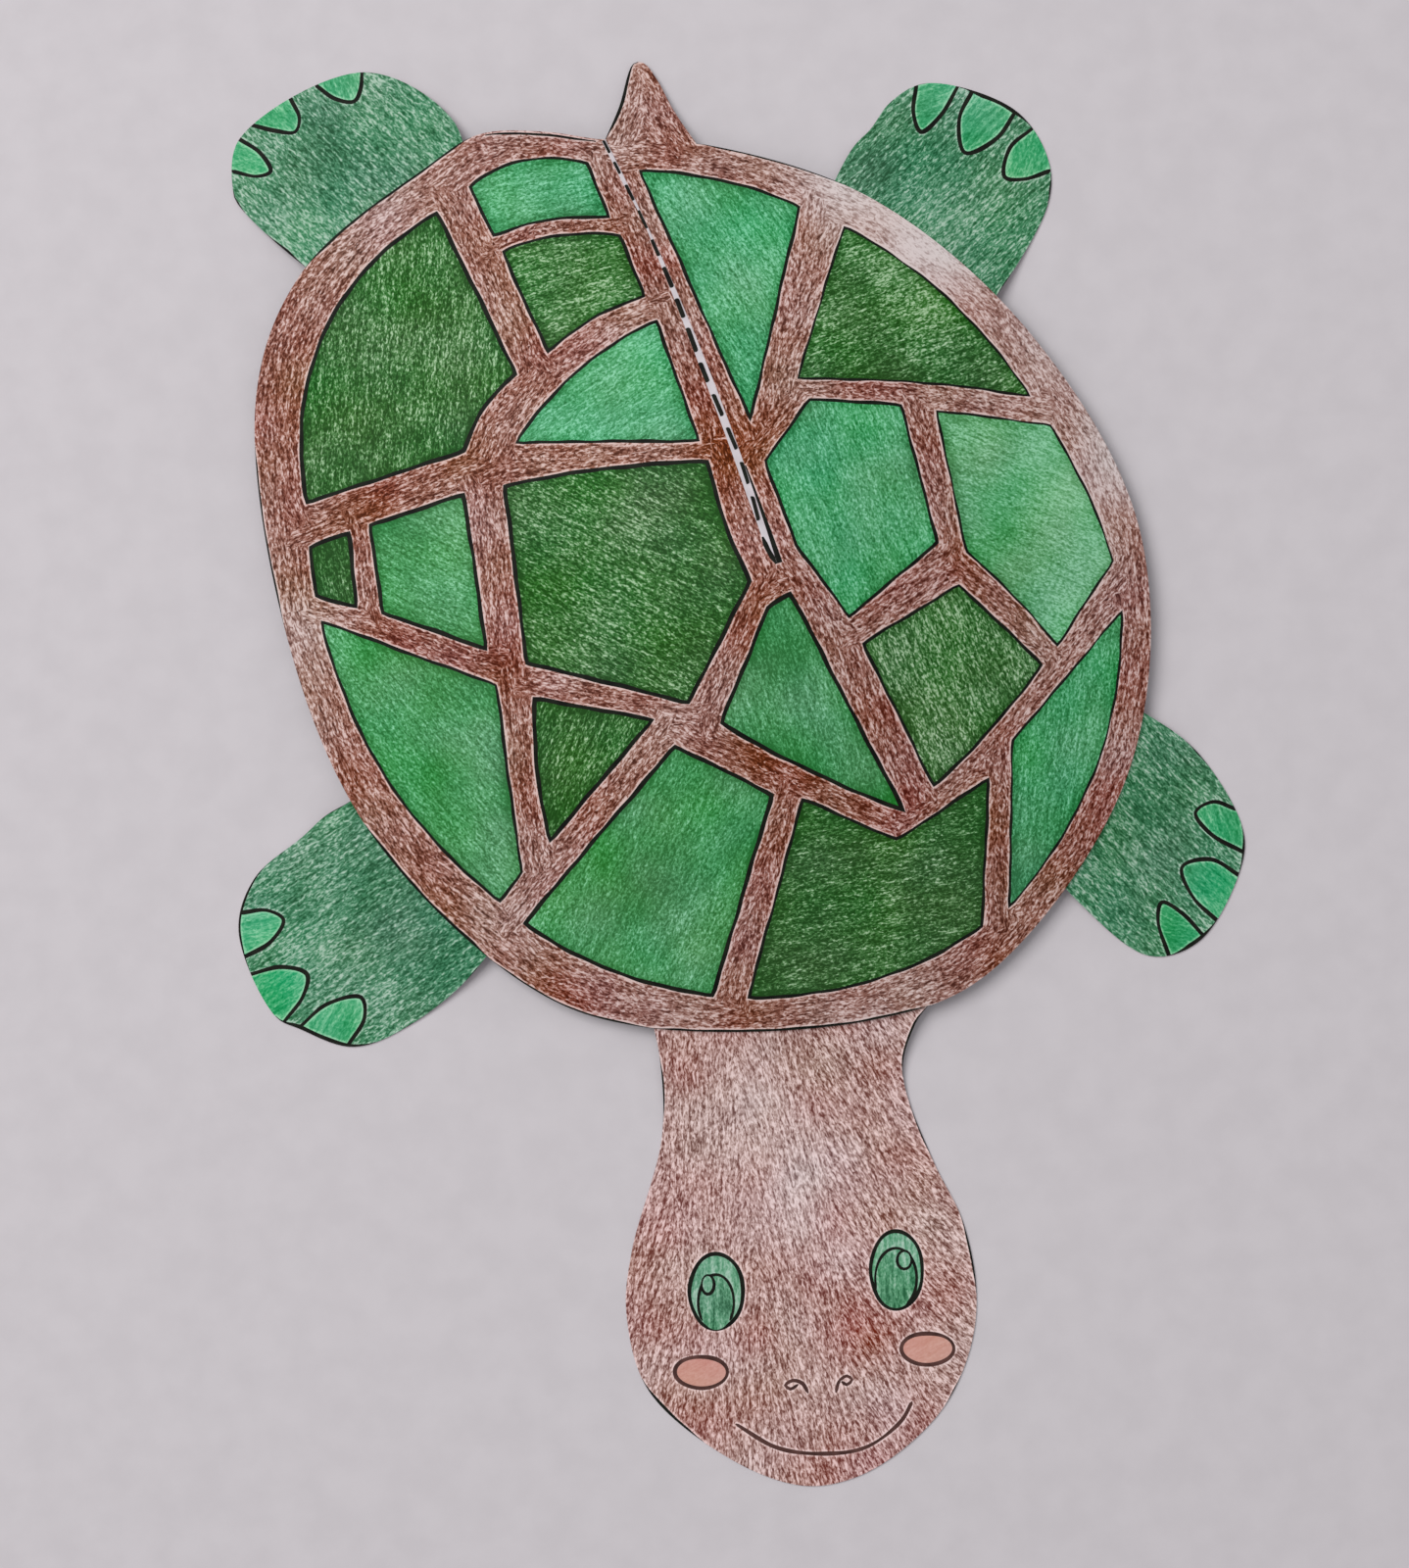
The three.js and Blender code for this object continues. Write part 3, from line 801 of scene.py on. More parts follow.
# %% [markdown]
# ## From a painted outline to a sheet of card
#
# The flat triangles become a mesh with their paints, stroke directions and pressures. The dome's
# tree lifts it, and Solidify gives it the card's thickness downwards, with bare card below and on
# the cut edges. The finished mesh is then taken from the evaluated object, so that no modifier is
# left, and stands in for the fixed model's plain solid.

# %% Make one sheet
RIM_WAVE = 0.45   # mm, how far the rim waves up and down
CUT_EDGE = math.radians(40)
STROKE_SHIFT = 3.7  # mm for each degree, so that two directions never share a pattern


def rim_wave(bearing):
    """The rim's slow waves, as a freehand dome has."""
    return RIM_WAVE * (0.6 * np.sin(3 * bearing + 0.8) + 0.4 * np.sin(5 * bearing + 2.4))


def set_input(modifier, name, value):
    """Sets a modifier's input by the identifier of its socket."""
    for item in modifier.node_group.interface.items_tree:
        if item.name == name and item.in_out == "INPUT":
            modifier[item.identifier] = value


def make_sheet(node, spots, faces, paint, hatch, pressure, gap, lap, depth):
    """A finished piece of card that replaces a node of the fixed model."""
    mesh = bpy.data.meshes.new(node + "_card")
    mesh.from_pydata([to_row(*spot) for spot in spots], [], faces.tolist())
    for name in PAINTS:
        mesh.materials.append(MATERIALS[name])
    mesh.polygons.foreach_set("material_index", paint)
    mesh.polygons.foreach_set("use_smooth", np.ones(len(faces), bool))
    turn = np.radians(hatch)[:, None]
    corners = spots[faces]
    shift = np.floor(hatch)[:, None] * STROKE_SHIFT
    strokes = np.stack([corners[..., 0] * np.cos(turn) + corners[..., 1] * np.sin(turn) + shift,
                        corners[..., 1] * np.cos(turn) - corners[..., 0] * np.sin(turn)], 2)
    mesh.uv_layers.new(name="strokes").data.foreach_set("uv", strokes.ravel())
    # Pressure; on the head's neck by the shell's rim it also holds painted shade.
    values = mesh.attributes.new("pressure", "FLOAT", "CORNER")
    values.data.foreach_set("value", pressure.ravel())
    bare = mesh.attributes.new("is_bare", "BOOLEAN", "FACE")
    bare.data.foreach_set("value", paint == PAINTS.index("card"))
    distance, bearing = from_peak(spots)
    for name, numbers in (("distance", distance), ("rim_reach", rim_reach(bearing)),
                          ("rim_wave", rim_wave(bearing)), ("lap", lap), ("ink_gap", gap)):
        values = mesh.attributes.new(name, "FLOAT", "POINT")
        values.data.foreach_set("value", numbers.astype(np.float32))
    piece = put_in_scene(node + "_card", mesh)
    raise_up = piece.modifiers.new("Lay on the dome", "NODES")
    raise_up.node_group = dome
    set_input(raise_up, "Depth below shell", depth)
    set_input(raise_up, "Bare card", MATERIALS["card"])
    thick = piece.modifiers.new("Card", "SOLIDIFY")
    thick.thickness = CARD * MM
    thick.offset = -1
    thick.material_offset = len(PAINTS)
    thick.material_offset_rim = len(PAINTS)
    solid = made_by_modifiers(piece)
    piece.modifiers.clear()
    piece.data = solid
    solid.set_sharp_from_angle(angle=CUT_EDGE)
    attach(piece, "root")
    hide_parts(node)
    low, high = piece.bound_box[0], piece.bound_box[6]
    print(f"{node}: {len(solid.polygons)} faces,",
          "x".join(str(round((h - l) / MM, 1)) for l, h in zip(low, high)), "mm")
    return piece


# %% [markdown]
# ## The shell's drawing
#
# The brown goes on first, along the bands between the scutes. Then each scute is a loop of black
# ink with its green inside. Beside the slit a narrow strip stays bare, and the flap's edge was
# inked near the peak. The rim still has some of the marker line that it was cut along.

# %% Layers of the shell
STRIP = [   # share of the way from the rim, dashes' distance from the slit, bare card beyond them
    (0, 0.55, 0.3), (0.1, 0.5, 0.35), (0.2, 0.3, 0.05), (0.33, 0.5, 0.45), (0.56, 1.3, 0.3),
    (0.64, 1.05, 0.55), (0.76, 0.5, 1.1), (0.85, 0.8, 0.8), (0.9, 1.1, 0.3), (0.945, 1.2, 0.1),
    (0.975, 0.8, 0), (1, 0.1, 0),
]
FLAP_INK_LENGTH = 22.0
FLAP_INK = (1.15, 0.2)  # mm, its width at the peak and where it ends
LAST_DASH_WIDTH = 1.1
LAST_DASH = 6.5   # mm, drawn by hand into the slit's end, unlike the even ones before it

shell_layers = []
for number, (paint, pen_width, direction, press, _) in enumerate(SCUTES):
    outer, inner = pen_loop(SCUTE_LINES[number], 10 + 2 * number, pen_width)
    shell_layers.append(("black", outer, 0, 0))
    shell_layers.append((paint, inner, direction, press))

from_rim = 1 - np.linspace(0, 1, len(SLIT))
shares, dash_gaps, margins = np.array(STRIP).T
slit_side = sideways(SLIT)
DASH_LINE = SLIT - slit_side * np.interp(from_rim, shares, dash_gaps)[:, None]
bare_edge = DASH_LINE - slit_side * np.interp(from_rim, shares, margins)[:, None]
shell_layers.append(("card", np.vstack([SLIT, bare_edge[::-1]]), 0, 0))
last_dash = DASH_LINE[length_along(DASH_LINE) < LAST_DASH]
shell_layers.append(("black", pen_stroke(last_dash, 60, LAST_DASH_WIDTH), 0, 0))
flap_edge = SLIT[length_along(SLIT) < FLAP_INK_LENGTH]
flap_ink = np.interp(length_along(flap_edge), [0, FLAP_INK_LENGTH], FLAP_INK)[:, None]
flap_side = sideways(flap_edge)
shell_layers.append(("black", np.vstack([flap_edge, (flap_edge + flap_side * flap_ink)[::-1]]),
                     0, 0))


EDGE_TAPER = 5      # mm
EDGE_THINNEST = 0.15    # share of the width
EDGE_SWELL = 0.25
EDGE_OVERHANG = 0.2     # mm beyond the cut, which trims it


def edge_ink(outline, start, end, width, inset=0.0):
    """A shape along a stretch of an anticlockwise outline, tapered at both ends."""
    first = np.linalg.norm(outline - np.array(start), axis=1).argmin()
    last = np.linalg.norm(outline - np.array(end), axis=1).argmin()
    line = np.roll(outline, -first, 0)[:(last - first) % len(outline) + 1]
    along = length_along(line)
    to_end = np.minimum(along, along[-1] - along)[:, None]
    wide = width * np.clip(to_end / EDGE_TAPER, EDGE_THINNEST, 1)
    wide = wide * (1 + wander(line, round(width * 100), EDGE_SWELL))
    inwards = -sideways(line)
    return np.vstack([line + inwards * (inset - EDGE_OVERHANG), (line + inwards * (inset + wide))[::-1]])


RIM_INK = [
    ((-11, 94), (-34, 98), 0.35, 0.6), ((-38, 98), (-74, 73), 0.5, 0), ((-90, 40), (-86, 2), 0.35, 0),
    ((-74, -41), (-52, -71), 0.6, 0), ((-52, -71), (-20, -90), 0.35, 0),
    ((-20, -90), (37, -91), 0.5, 0), ((-1, 109), (-9.5, 93.5), 0.75, 0), ((40, 81), (9, 90.5), 0.3, 0),
]
for start, end, width, inset in RIM_INK:
    shell_layers.append(("black", edge_ink(SHELL_OUTLINE, start, end, width, inset), 0, 0))

# Broad places where the hand pressed harder (+) or let up (-): x, y, radius, amount.
SHELL_SPOTS = [
    (57, 66, 17, -0.5), (40, 80, 12, -0.3), (76, 40, 12, -0.2), (90, 14, 15, -0.3),
    (-52, 84, 10, -0.12), (-84, 48, 12, 0.12), (14, -10, 8, 0.16), (-38, 27, 7, 0.14),
    (22, -40, 10, 0.12), (5, -36, 8, 0.14), (52, -30, 9, -0.08), (-40, -12, 7, 0.1),
    (9, 24, 9, 0.15), (60, -60, 14, 0.1), (-86, -5, 10, -0.12), (0, 40, 8, 0.08),
    (-62, 30, 10, 0.08), (-15, -93, 12, -0.1), (25, -91, 12, -0.1),
]

# %% [markdown]
# ## Cut, slit and lap the shell
#
# The triangulation treats the slit as one more line. To open it, the points on it are doubled,
# and the triangles on its left take the copies. Those copies sink by the lap's step, which fades
# away round the dome. A tab that runs on under the flap is added to them, because the two edges
# really overlap.

# %% The shell
LAP_FADE = math.radians(9)
LAP_START = 16.0
TAB_START = (12.0, 20.0)
ON_LINE = 1e-3

spots, faces = triangulate(SHELL_OUTLINE, [layer[1] for layer in shell_layers], [SLIT])
paint, hatch, press = paint_faces(spots, faces, ("brown", 0, 0.0), shell_layers)
ground = np.flatnonzero(paint == PAINTS.index("brown"))
middles = spots[faces].mean(1)[ground]
guides = [nearest(middles, line) for line in (*SCUTE_LINES, SHELL_OUTLINE)]
closest = np.argmin([gap for gap, _ in guides], 0)
headings = np.array([heading for _, heading in guides])[closest, np.arange(len(ground))]
HEADING_STEP = 15
hatch[ground] = np.round(headings / HEADING_STEP) * HEADING_STEP
print("the shell:", len(spots), "points,", len(faces), "triangles before the lap")

slit_gap, _ = nearest(spots, SLIT, closed=False)
distance, bearing = from_peak(spots)
on_slit = np.flatnonzero((slit_gap < ON_LINE) & (distance > ON_LINE * 100))
copy_of = np.arange(len(spots))
copy_of[on_slit] = len(spots) + np.arange(len(on_slit))
middle_distance, middle_bearing = from_peak(spots[faces].mean(1))
slit_here = np.interp(middle_distance, slit_distance, slit_bearing)
is_left = (middle_bearing > slit_here) & (middle_bearing - slit_here < math.pi / 2)
touches = np.isin(faces, on_slit).any(1)
faces[is_left & touches] = copy_of[faces[is_left & touches]]
spots = np.vstack([spots, spots[on_slit]])

distance, bearing = from_peak(spots)
past = (bearing - np.interp(distance, slit_distance, slit_bearing)) / LAP_FADE
past = np.clip(np.where(past < -ON_LINE, past + 2 * math.pi / LAP_FADE, past), 0, 1)
lap = (1 - past * past * (3 - 2 * past)) * np.clip(distance / LAP_START, 0, 1)
lap[:len(copy_of)][on_slit] = 0

lip = len(copy_of) + np.argsort(distance[len(copy_of):])
tab_share = np.clip((distance[lip] - TAB_START[0]) / (TAB_START[1] - TAB_START[0]), 0, 1)
lip, tab_share = lip[tab_share > 0], tab_share[tab_share > 0]
rows = [lip]
for part in (0.5, 1.0):
    swung = bearing[lip] - SLIT_LAP_ANGLE * part * tab_share
    row = APEX + distance[lip, None] * np.stack([np.cos(swung), np.sin(swung)], 1)
    rows.append(len(spots) + np.arange(len(row)))
    spots = np.vstack([spots, row])
    lap = np.concatenate([lap, np.ones(len(row))])
tab = []
for near_row, far_row in zip(rows, rows[1:]):
    for a, b, c, d in zip(near_row, near_row[1:], far_row[1:], far_row):
        tab += [(a, c, b), (a, d, c)]
lap[lip] = 1
faces = np.vstack([faces, tab])
paint = np.concatenate([paint, np.full(len(tab), PAINTS.index("card"))])
hatch = np.concatenate([hatch, np.zeros(len(tab))])
press = np.concatenate([press, np.zeros(len(tab))])
press = press[:, None] + soft_spots(spots, SHELL_SPOTS)[faces]
shell = make_sheet("shell", spots, faces, paint, hatch, press,
                   line_gap(spots, shell_layers), lap, 0.0)

# %% [markdown]
# ## The legs
#
# Each leg is a rounded sheet of card, pencilled sea green, with three claws. A claw is an arch of
# marker line from the leg's edge and back, filled with a clearer green.

# %% Layers of a leg
LEGS = {
    # strokes' direction, pressure on the claws, claws from the edge over the tip and back,
    # ink on the cut edge, soft spots
    "rear_right_leg": (130, 0.0, [
        [(-67.7, 111.8), (-64.2, 108.7), (-60.3, 107.7), (-58.7, 110.2), (-58.1, 113.4)],
        [(-73.4, 109.8), (-72, 105.5), (-73.2, 102.8), (-77.2, 103.5), (-81.8, 105.2)],
        [(-84.9, 102.7), (-80.8, 99.2), (-79.1, 95.2), (-82, 94.5), (-86.6, 96)],
    ], [
        ((-87.2, 92), (-85, 87.2), 0.7), ((-81, 81.8), (-73.9, 74.3), 0.6),
        ((-55, 112.7), (-58, 113.4), 0.3), ((-41, 102), (-42.5, 104), 0.3),
    ], [(-74, 83, 9, -0.15), (-60, 92, 10, 0.1), (-52, 98, 8, -0.12)]),
    "rear_left_leg": (38, 0.0, [
        [(55.7, 97.9), (54.5, 92.6), (55.6, 88.4), (60.2, 91.5), (64.3, 97)],
        [(67.1, 95.6), (63.8, 90.2), (64.2, 83.1), (71, 85.3), (75.7, 90.6)],
        [(78.4, 86.4), (73.6, 83.1), (71.8, 77.2), (75.8, 76.3), (80.8, 77.3)],
    ], [
        ((78.4, 86.4), (64.3, 97), 0.8), ((80.1, 70.7), (81, 76.5), 0.7),
        ((58, 98.1), (55, 97.7), 0.3), ((66.2, 52.2), (71.2, 57.5), 0.35),
    ], [(58, 70, 8, -0.15), (45, 84, 7, 0.14), (70, 68, 9, 0.08)]),
    "front_right_leg": (28, -0.1, [
        [(-102.1, -56.6), (-97, -56.7), (-93.8, -59), (-97, -63.3), (-103, -65.9)],
        [(-102, -69.5), (-95.2, -68.7), (-90.2, -70.8), (-91.6, -75.3), (-95.8, -79.8)],
        [(-93.1, -81.6), (-86.8, -77.4), (-79.6, -76.8), (-79.4, -81.1), (-83.3, -86.2)],
    ], [
        ((-76.8, -36.1), (-83, -39), 0.3), ((-96.3, -47.8), (-102, -69.5), 0.45),
        ((-97.7, -78.7), (-78, -86.4), 0.8), ((-72.3, -84.5), (-69, -83), 0.35),
        ((-58, -76), (-53.5, -72), 0.35),
    ], [(-74, -62, 10, 0.1), (-86, -66, 9, -0.12), (-60, -68, 8, 0.12)]),
    "front_left_leg": (128, 0.08, [
        [(104.7, -58.2), (100.3, -56.2), (96.4, -58), (99, -62.7), (105.4, -67.3)],
        [(103.9, -71.9), (98.5, -68), (92.4, -68.9), (93.9, -75.3), (98.5, -80.9)],
        [(87.6, -86.7), (86.2, -79.5), (87.4, -75.7), (91.4, -78.5), (95.3, -83.7)],
    ], [
        ((100, -48), (95.8, -43.2), 0.45), ((104, -71.5), (105.6, -61.6), 0.6),
        ((87.6, -86.8), (98.8, -80.5), 0.8),
    ], [(84, -62, 10, 0.08), (78, -50, 8, -0.1), (92, -52, 8, 0.1)]),
}
CLAW_OVERRUN = 4.0
CLAW_TURN = 25      # degrees between the strokes of neighbouring claws


def claw_layers(points, seed, direction, press):
    """The green and the ink of one claw; both may overrun the leg's edge, which cuts them."""
    arch = smooth(points, 0.8)
    base = np.mean([arch[0], arch[-1]], 0)
    out = base - arch[len(arch) // 2]
    out /= np.linalg.norm(out)
    fill = np.vstack([arch[0] + out * CLAW_OVERRUN, arch, arch[-1] + out * CLAW_OVERRUN])
    line = np.vstack([arch[0] + out * PEN, arch, arch[-1] + out * PEN])
    return [("bright_green", fill, direction, press), ("black", pen_stroke(line, seed), 0, 0)]


# %% The four legs
GLUED_DEPTH = CARD + GLUE_GAP

for number, (name, (direction, claw_press, claws, edges, touches)) in enumerate(LEGS.items()):
    outline = smooth(OUTLINES[name], 1.2)[::-1]
    layers = []
    for claw, points in enumerate(claws):
        layers += claw_layers(points, 100 + 10 * number + claw, direction + CLAW_TURN * (claw - 1),
                              claw_press)
    for start, end, width in edges:
        layers.append(("black", edge_ink(outline, start, end, width), 0, 0))
    spots, faces = triangulate(outline, [layer[1] for layer in layers])
    paint, hatch, press = paint_faces(spots, faces, ("sea_green", direction, 0.0), layers)
    press = press[:, None] + soft_spots(spots, touches)[faces]
    make_sheet(name, spots, faces, paint, hatch, press, line_gap(spots, layers),
               np.zeros(len(spots)), GLUED_DEPTH)

# %% [markdown]
# ## The head
#
# The head and the neck are one sheet, shaded brown more lightly than the shell. Where the neck
# meets the shell's rim, denser pencil paints the rim's shade. The face is a simple one: two green
# eyes with a ring and a highlight drawn in each, two pink cheeks in dark brown line, two little
# curls for nostrils, and a smile.

# %% The face
EYE_TILT = -6.4
FEATURE_STEP = 0.7
MEAN_ARC = 115      # an oval's half sizes added, times degrees, over its length along the line
IRIS_HEIGHT = 0.97  # of its line's


def oval(centre, half_width, half_height, first=0.0, last=360.0):
    """An oval line, upright to the face, or the part of it between two bearings."""
    across, up = half_width, half_height
    count = max(12, round((across + up) * abs(last - first) / MEAN_ARC / FEATURE_STEP))
    turn = np.radians(np.linspace(first, last, count, endpoint=abs(last - first) < 360))
    tilt = math.radians(EYE_TILT)
    x, y = across * np.cos(turn), up * np.sin(turn)
    return np.array(centre) + np.stack([x * math.cos(tilt) - y * math.sin(tilt),
                                        x * math.sin(tilt) + y * math.cos(tilt)], 1)


face_layers = []
for seed, centre, half_width, half_height in ((200, (-13.3, -145.6), 5.5, 7.9),
                                              (210, (24.3, -145.2), 5.4, 8.0)):
    outer, inner = pen_loop(oval(centre, half_width, half_height), seed, 0.8)
    face_layers += [("black", outer, 0, 0), ("eye_green", inner, 84, -0.14)]
# The iris is an oval pressed harder, left open where it meets the eye's own line.
for seed, centre, half_width, half_height, first, last in (
        (220, (-13.6, -147.8), 3.7, 5.8, -40, 220), (224, (24.0, -147.0), 4.3, 6.3, -60, 200)):
    face_layers.append(("eye_green", oval(centre, half_width, half_height * IRIS_HEIGHT), 84, 0.1))
    arc = oval(centre, half_width, half_height, first, last)
    face_layers.append(("black", pen_stroke(arc, seed, 0.6), 0, 0))
for seed, centre, half_width, half_height in ((222, (-14.9, -143.9), 1.3, 2.0),
                                              (226, (26.2, -143.3), 1.5, 1.9)):
    outer, inner = pen_loop(oval(centre, half_width, half_height), seed, 0.55)
    face_layers += [("black", outer, 0, 0), ("eye_green", inner, 84, -0.15)]
for seed, centre in ((230, (-18.2, -161.8)), (232, (28.8, -162.2))):
    outer, inner = pen_loop(oval(centre, 5.4, 3.3), seed, 0.8)
    face_layers += [("dark_brown", outer, 0, 0), ("pink", inner, 20, 0.0)]
CURLS = [
    [(3.3, -168.6), (2.3, -166.4), (0.4, -165.6), (-1.2, -166.4), (-0.3, -167.3), (1.5, -166.5)],
    [(9.0, -169.1), (9.9, -166.9), (11.6, -165.9), (12.6, -166.8), (11.4, -167.7),
     (10.3, -166.8)],
]
SMILE = [(-12.4, -173.2), (-4.3, -179.1), (5.2, -181.4), (14, -181), (21.7, -176.5),
         (24.5, -172.7)]
for seed, points, width in ((240, CURLS[0], 0.7), (242, CURLS[1], 0.7), (244, SMILE, 0.8)):
    stroke = pen_stroke(smooth(points, 0.6 if width < PEN else 1.2), seed, width)
    face_layers.append(("dark_brown", stroke, 0, 0))

# %% The head
HEAD_EDGES = [
    ((-19.5, -95), (-19.8, -109), 0.4), ((-30.5, -161), (-19, -176), 0.55),
    ((30.3, -105.5), (37.4, -90.9), 0.45), ((34.5, -124), (30.6, -110.5), 0.25),
    ((40, -152), (38.6, -135), 0.4), ((31, -174.6), (35, -168), 0.35),
]
HEAD_HATCH = 99     # degrees, the strokes down the middle of the head
HEAD_MIDDLE = 4     # mm
HEAD_FAN = 0.9      # degrees by which the strokes turn for each mm to the side
# The spots on the neck beside the shell's rim, at (18, -92), (-16, -100) and (25, -103), are painted
# shade: denser pencil where the rim shades the neck. The others are where the hand pressed or let up.
HEAD_SPOTS_AND_RIM_SHADE = [
    (-5, -156, 5, 0.12), (6, -150, 6, 0.08), (14, -153, 6, 0.1), (19, -159, 4, 0.12),
    (-26, -150, 7, 0.14), (36, -150, 6, 0.1), (8, -184, 9, 0.1), (-22, -170, 6, 0.1),
    (25, -103, 5, 0.12), (18, -92, 6, 0.14), (-16, -100, 5, 0.14), (2, -126, 12, -0.12),
    (0, -106, 9, -0.12), (-22, -132, 6, 0.12), (24, -135, 4, 0.12), (30, -126, 6, 0.08),
]
outline = smooth(OUTLINES["head"], 1.4)[::-1]
for start, end, width in HEAD_EDGES:
    face_layers.append(("black", edge_ink(outline, start, end, width), 0, 0))
spots, faces = triangulate(outline, [layer[1] for layer in face_layers])
paint, hatch, press = paint_faces(spots, faces, ("light_brown", 0, -0.03), face_layers)
ground = paint == PAINTS.index("light_brown")
fan = HEAD_FAN * (spots[faces[ground]].mean(1)[:, 0] - HEAD_MIDDLE)
hatch[ground] = HEAD_HATCH + np.round(fan / HEADING_STEP) * HEADING_STEP
# On the head these extra pressures also carry the painted shade beside the shell's rim.
press = press[:, None] + soft_spots(spots, HEAD_SPOTS_AND_RIM_SHADE)[faces]
make_sheet("head", spots, faces, paint, hatch, press, line_gap(spots, face_layers),
           np.zeros(len(spots)), GLUED_DEPTH)

# %% [markdown]
# ## Dashes along the slit
#
# Beside the slit runs a line of marker dashes, where the card was to be lapped. They repeat along
# a path, which is what Geometry Nodes are for: one rounded dash is made, and a copy is set on
# every point of the path and turned to follow it, with a little seeded unevenness. The copies are
# made real at the end, with their ink.

# %% The path that the dashes follow
DASH_COUNT = 13
DASH_LENGTH = 5.2
DASH_WIDTH = 1.1
DASH_HEIGHT = 0.06
CROWDING = 1.12     # over 1, the dashes lie closer together near the rim
THIN_END = 0.6     # size of the first dash at the rim, next to the ones near the peak
RIM_MARGIN = 0.4
PEAK_MARGIN = 11.2
ABOVE_ALL = 60      # mm, where the rays that find the card start
DASH_CORNER = 0.48  # of the dash's width

along = length_along(DASH_LINE)
dash_line = DASH_LINE[(along > PEAK_MARGIN) & (along < along[-1] - RIM_MARGIN)][::-1]
hits = [shell.ray_cast(to_row(x, y, ABOVE_ALL), Vector((0, 0, -1))) for x, y in dash_line]
path = bpy.data.curves.new("dash_path", "CURVE")
path.dimensions = "3D"
spline = path.splines.new("POLY")
spline.points.add(len(hits) - 1)
for point, (_, place, *_) in zip(spline.points, hits):
    point.co = (*place, 1)
dashes = put_in_scene("slit_dashes", path)

# %% One dash, repeated
trail = bpy.data.node_groups.new("Dashes along a path", "GeometryNodeTree")
trail.interface.new_socket("Path", in_out="INPUT", socket_type="NodeSocketGeometry")
for socket_name, socket_kind, socket_value in (
        ("Count", "NodeSocketInt", DASH_COUNT), ("Length", "NodeSocketFloat", DASH_LENGTH * MM),
        ("Width", "NodeSocketFloat", DASH_WIDTH * MM),
        ("Ink height", "NodeSocketFloat", DASH_HEIGHT * MM),
        ("Crowding", "NodeSocketFloat", CROWDING), ("Thin end", "NodeSocketFloat", THIN_END),
        ("Seed", "NodeSocketInt", 4)):
    socket = trail.interface.new_socket(socket_name, in_out="INPUT", socket_type=socket_kind)
    socket.default_value = socket_value
trail.interface.new_socket("Ink", in_out="INPUT", socket_type="NodeSocketMaterial")
trail.interface.new_socket("Dashes", in_out="OUTPUT", socket_type="NodeSocketGeometry")
given = add_node(trail, "NodeGroupInput").outputs

# A flat bar with round ends, given a little height so that it is closed all round.
bar = add_node(trail, "GeometryNodeCurvePrimitiveQuadrilateral", None, {
    "Width": given["Length"], "Height": given["Width"]})
corner = add_node(trail, "ShaderNodeMath", {"operation": "MULTIPLY"}, {
    0: given["Width"], 1: DASH_CORNER})
rounded_bar = add_node(trail, "GeometryNodeFilletCurve", {"mode": "POLY"}, {
    "Curve": bar.outputs["Curve"], "Count": 4, "Radius": corner.outputs["Value"]})
base = add_node(trail, "GeometryNodeFillCurve", {"mode": "NGONS"}, {
    "Curve": rounded_bar.outputs["Curve"]})
lid = add_node(trail, "GeometryNodeExtrudeMesh", {"mode": "FACES"}, {
    "Mesh": base.outputs["Mesh"], "Offset Scale": given["Ink height"], "Individual": False})
underside = add_node(trail, "GeometryNodeFlipFaces", None, {"Mesh": base.outputs["Mesh"]})
joined = add_node(trail, "GeometryNodeJoinGeometry")
trail.links.new(lid.outputs["Mesh"], joined.inputs["Geometry"])
trail.links.new(underside.outputs["Mesh"], joined.inputs["Geometry"])
dash = add_node(trail, "GeometryNodeMergeByDistance", None, {
    "Geometry": joined.outputs["Geometry"], "Distance": 0.001 * MM})

# A point for every dash. Its share of the way from the rim sets its place and its size.
index = add_node(trail, "GeometryNodeInputIndex")
last = add_node(trail, "ShaderNodeMath", {"operation": "SUBTRACT"}, {0: given["Count"], 1: 1})
share = add_node(trail, "ShaderNodeMath", {"operation": "DIVIDE"}, {
    0: index.outputs["Index"], 1: last.outputs["Value"]})
crowded = add_node(trail, "ShaderNodeMath", {"operation": "POWER"}, {
    0: share.outputs["Value"], 1: given["Crowding"]})
spot = add_node(trail, "GeometryNodeSampleCurve", {"mode": "FACTOR"}, {
    "Curves": given["Path"], "Factor": crowded.outputs["Value"]})
places = add_node(trail, "GeometryNodePoints", None, {
    "Count": given["Count"], "Position": spot.outputs["Position"]})
swelling = add_node(trail, "ShaderNodeMapRange", None, {
    "Value": share.outputs["Value"], "From Max": 0.5, "To Min": given["Thin end"]})
uneven = add_node(trail, "FunctionNodeRandomValue", {"data_type": "FLOAT_VECTOR"}, {
    0: (0.85, 0.9, 1.0), 1: (1.08, 1.1, 1.0), "Seed": given["Seed"]})
size = add_node(trail, "ShaderNodeVectorMath", {"operation": "SCALE"}, {
    0: uneven.outputs["Value"], "Scale": swelling.outputs["Result"]})
along_path = add_node(trail, "FunctionNodeAlignRotationToVector", {"axis": "X"}, {
    "Vector": spot.outputs["Tangent"]})
turned = add_node(trail, "FunctionNodeAlignRotationToVector", {"axis": "Z", "pivot_axis": "X"}, {
    "Rotation": along_path.outputs["Rotation"], "Vector": (0, 0, 1)})
copies = add_node(trail, "GeometryNodeInstanceOnPoints", None, {
    "Points": places.outputs["Points"], "Instance": dash.outputs["Geometry"],
    "Rotation": turned.outputs["Rotation"], "Scale": size.outputs["Vector"]})
real = add_node(trail, "GeometryNodeRealizeInstances", None, {
    "Geometry": copies.outputs["Instances"]})
inked = add_node(trail, "GeometryNodeSetMaterial", None, {
    "Geometry": real.outputs["Geometry"], "Material": given["Ink"]})
add_node(trail, "NodeGroupOutput", None, {"Dashes": inked.outputs["Geometry"]})

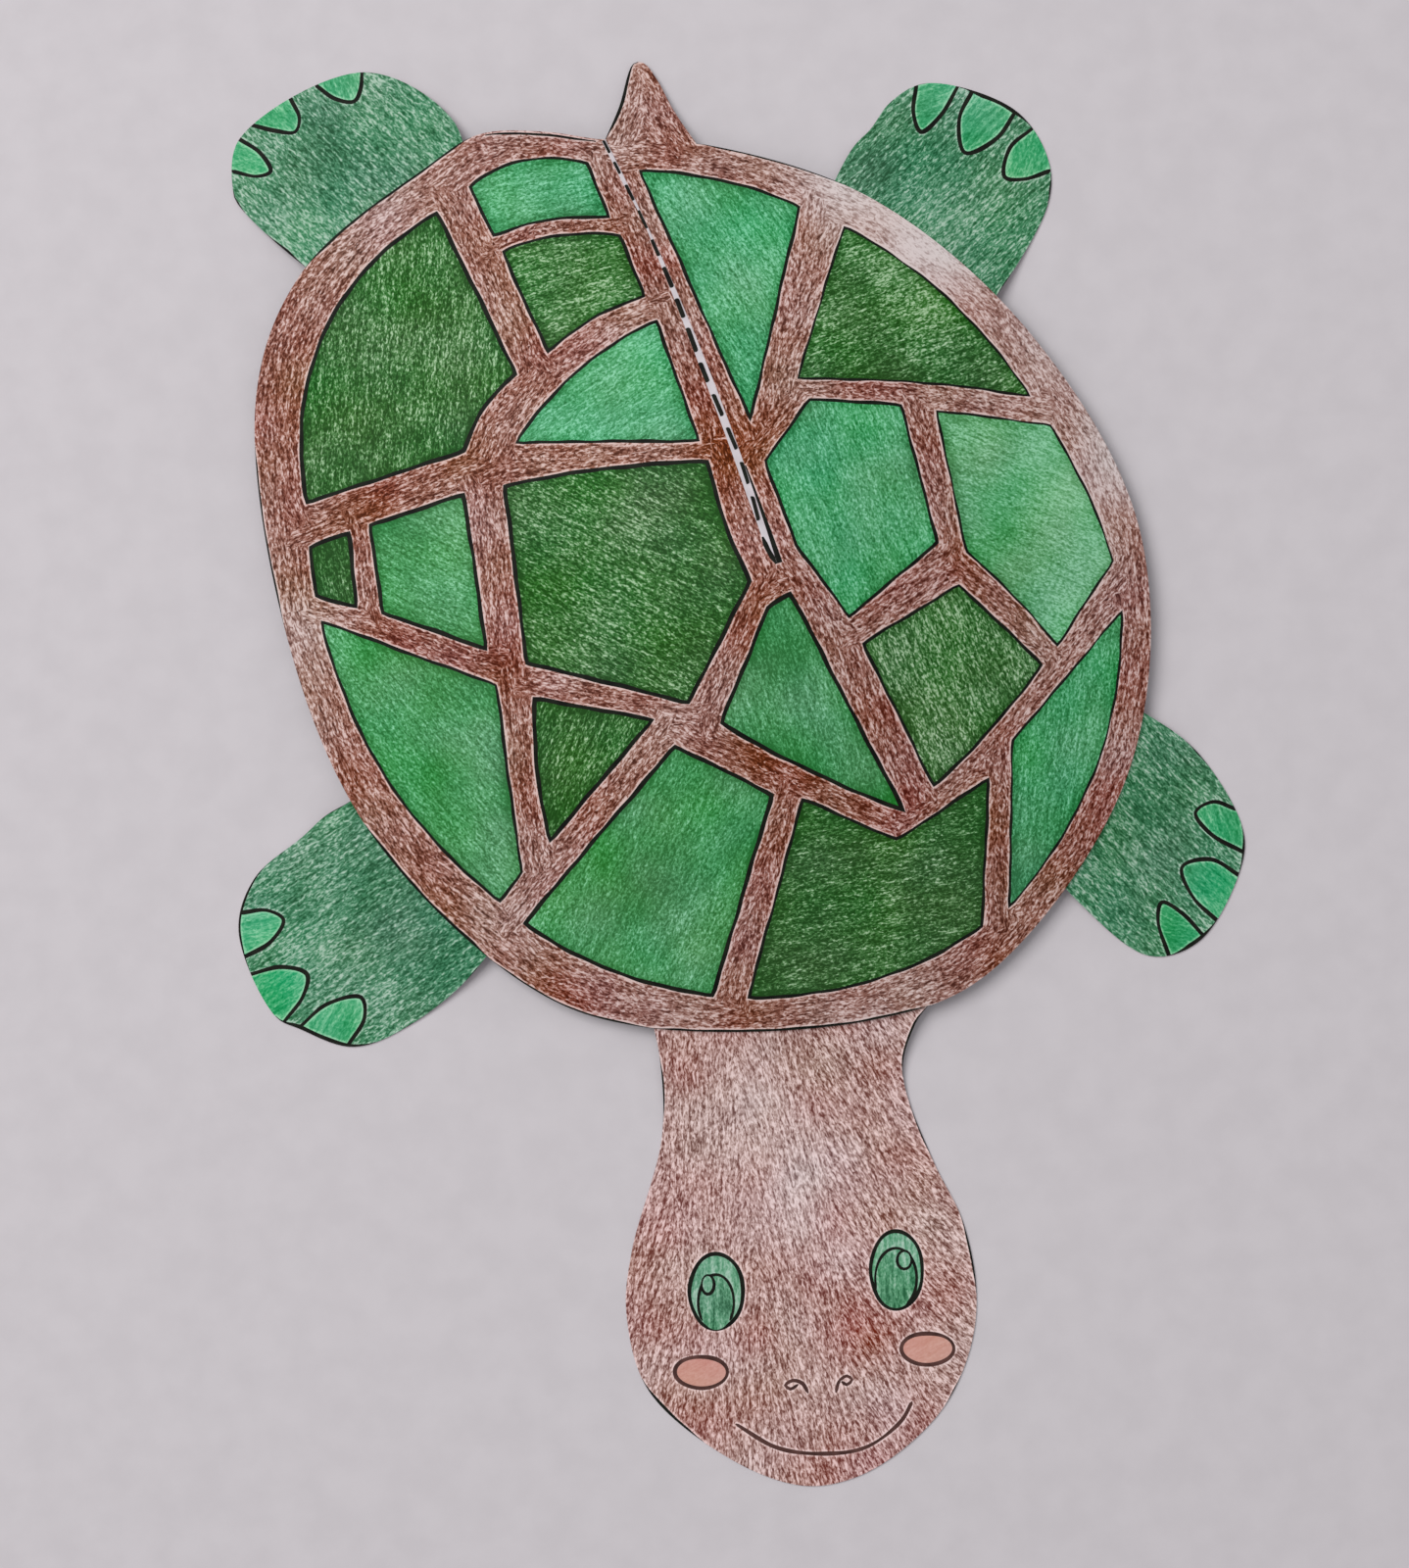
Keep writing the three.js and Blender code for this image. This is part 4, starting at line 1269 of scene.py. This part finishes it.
# %% The dashes
repeat = dashes.modifiers.new("Dashes", "NODES")
repeat.node_group = trail
set_input(repeat, "Ink", MATERIALS["black"])
dash_mesh = made_by_modifiers(dashes)
bpy.data.objects.remove(dashes)
slit_dashes = put_in_scene("slit_dashes", dash_mesh)
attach(slit_dashes, "root")
print("slit dashes:", len(dash_mesh.polygons), "faces")

# %% [markdown]
# ## Table, light and camera
#
# The turtle lies on a plain pale table, seen from straight above with the camera turned a little.
# One large soft light from the upper left and an even pale surround give the gentle shadows of a
# bright room.

# %% The table
TABLE_SIZE = 3.0
TABLE_TOP = -0.05 * MM

corners = [(x * TABLE_SIZE, y * TABLE_SIZE, TABLE_TOP)
           for x, y in ((-0.5, -0.5), (0.5, -0.5), (0.5, 0.5), (-0.5, 0.5))]
table_mesh = bpy.data.meshes.new("table")
table_mesh.from_pydata(corners, [], [(0, 1, 2, 3)])
table_mesh.materials.append(soaked("pale_table_cloth", "#c6c1c4", "#cac5c8", 8.0, 0.9))
table = put_in_scene("table", table_mesh)

# %% The light
LIGHT_PLACE = Vector((-0.75, 0.65, 1.5))
LIGHT_SIZE = 1.1
LIGHT_POWER = 22.0
SURROUND = 0.53

lamp_data = bpy.data.lights.new("window", "AREA")
lamp_data.shape = "SQUARE"
lamp_data.size = LIGHT_SIZE
lamp_data.energy = LIGHT_POWER
lamp = put_in_scene("window", lamp_data)
lamp.location = LIGHT_PLACE
lamp.rotation_euler = (-LIGHT_PLACE).to_track_quat("-Z", "Y").to_euler()
world = bpy.data.worlds.new("pale_room")
world.use_nodes = True
sky = world.node_tree.nodes["Background"]
sky.inputs["Color"].default_value = colour("#f4f3f6")
sky.inputs["Strength"].default_value = SURROUND
bpy.context.scene.world = world
bpy.context.scene.view_settings.view_transform = "Standard"

# %% The camera
CAMERA_PLACE = (-4.0, -40.8, 660.0)
CAMERA_TURN = math.radians(-6.4)
LENS = 73.125

camera_data = bpy.data.cameras.new("overhead")
camera_data.lens = LENS
camera_data.clip_start = 0.01
camera = put_in_scene("overhead", camera_data)
camera.location = to_row(*CAMERA_PLACE)
camera.rotation_euler = (0, 0, CAMERA_TURN)
bpy.context.scene.camera = camera
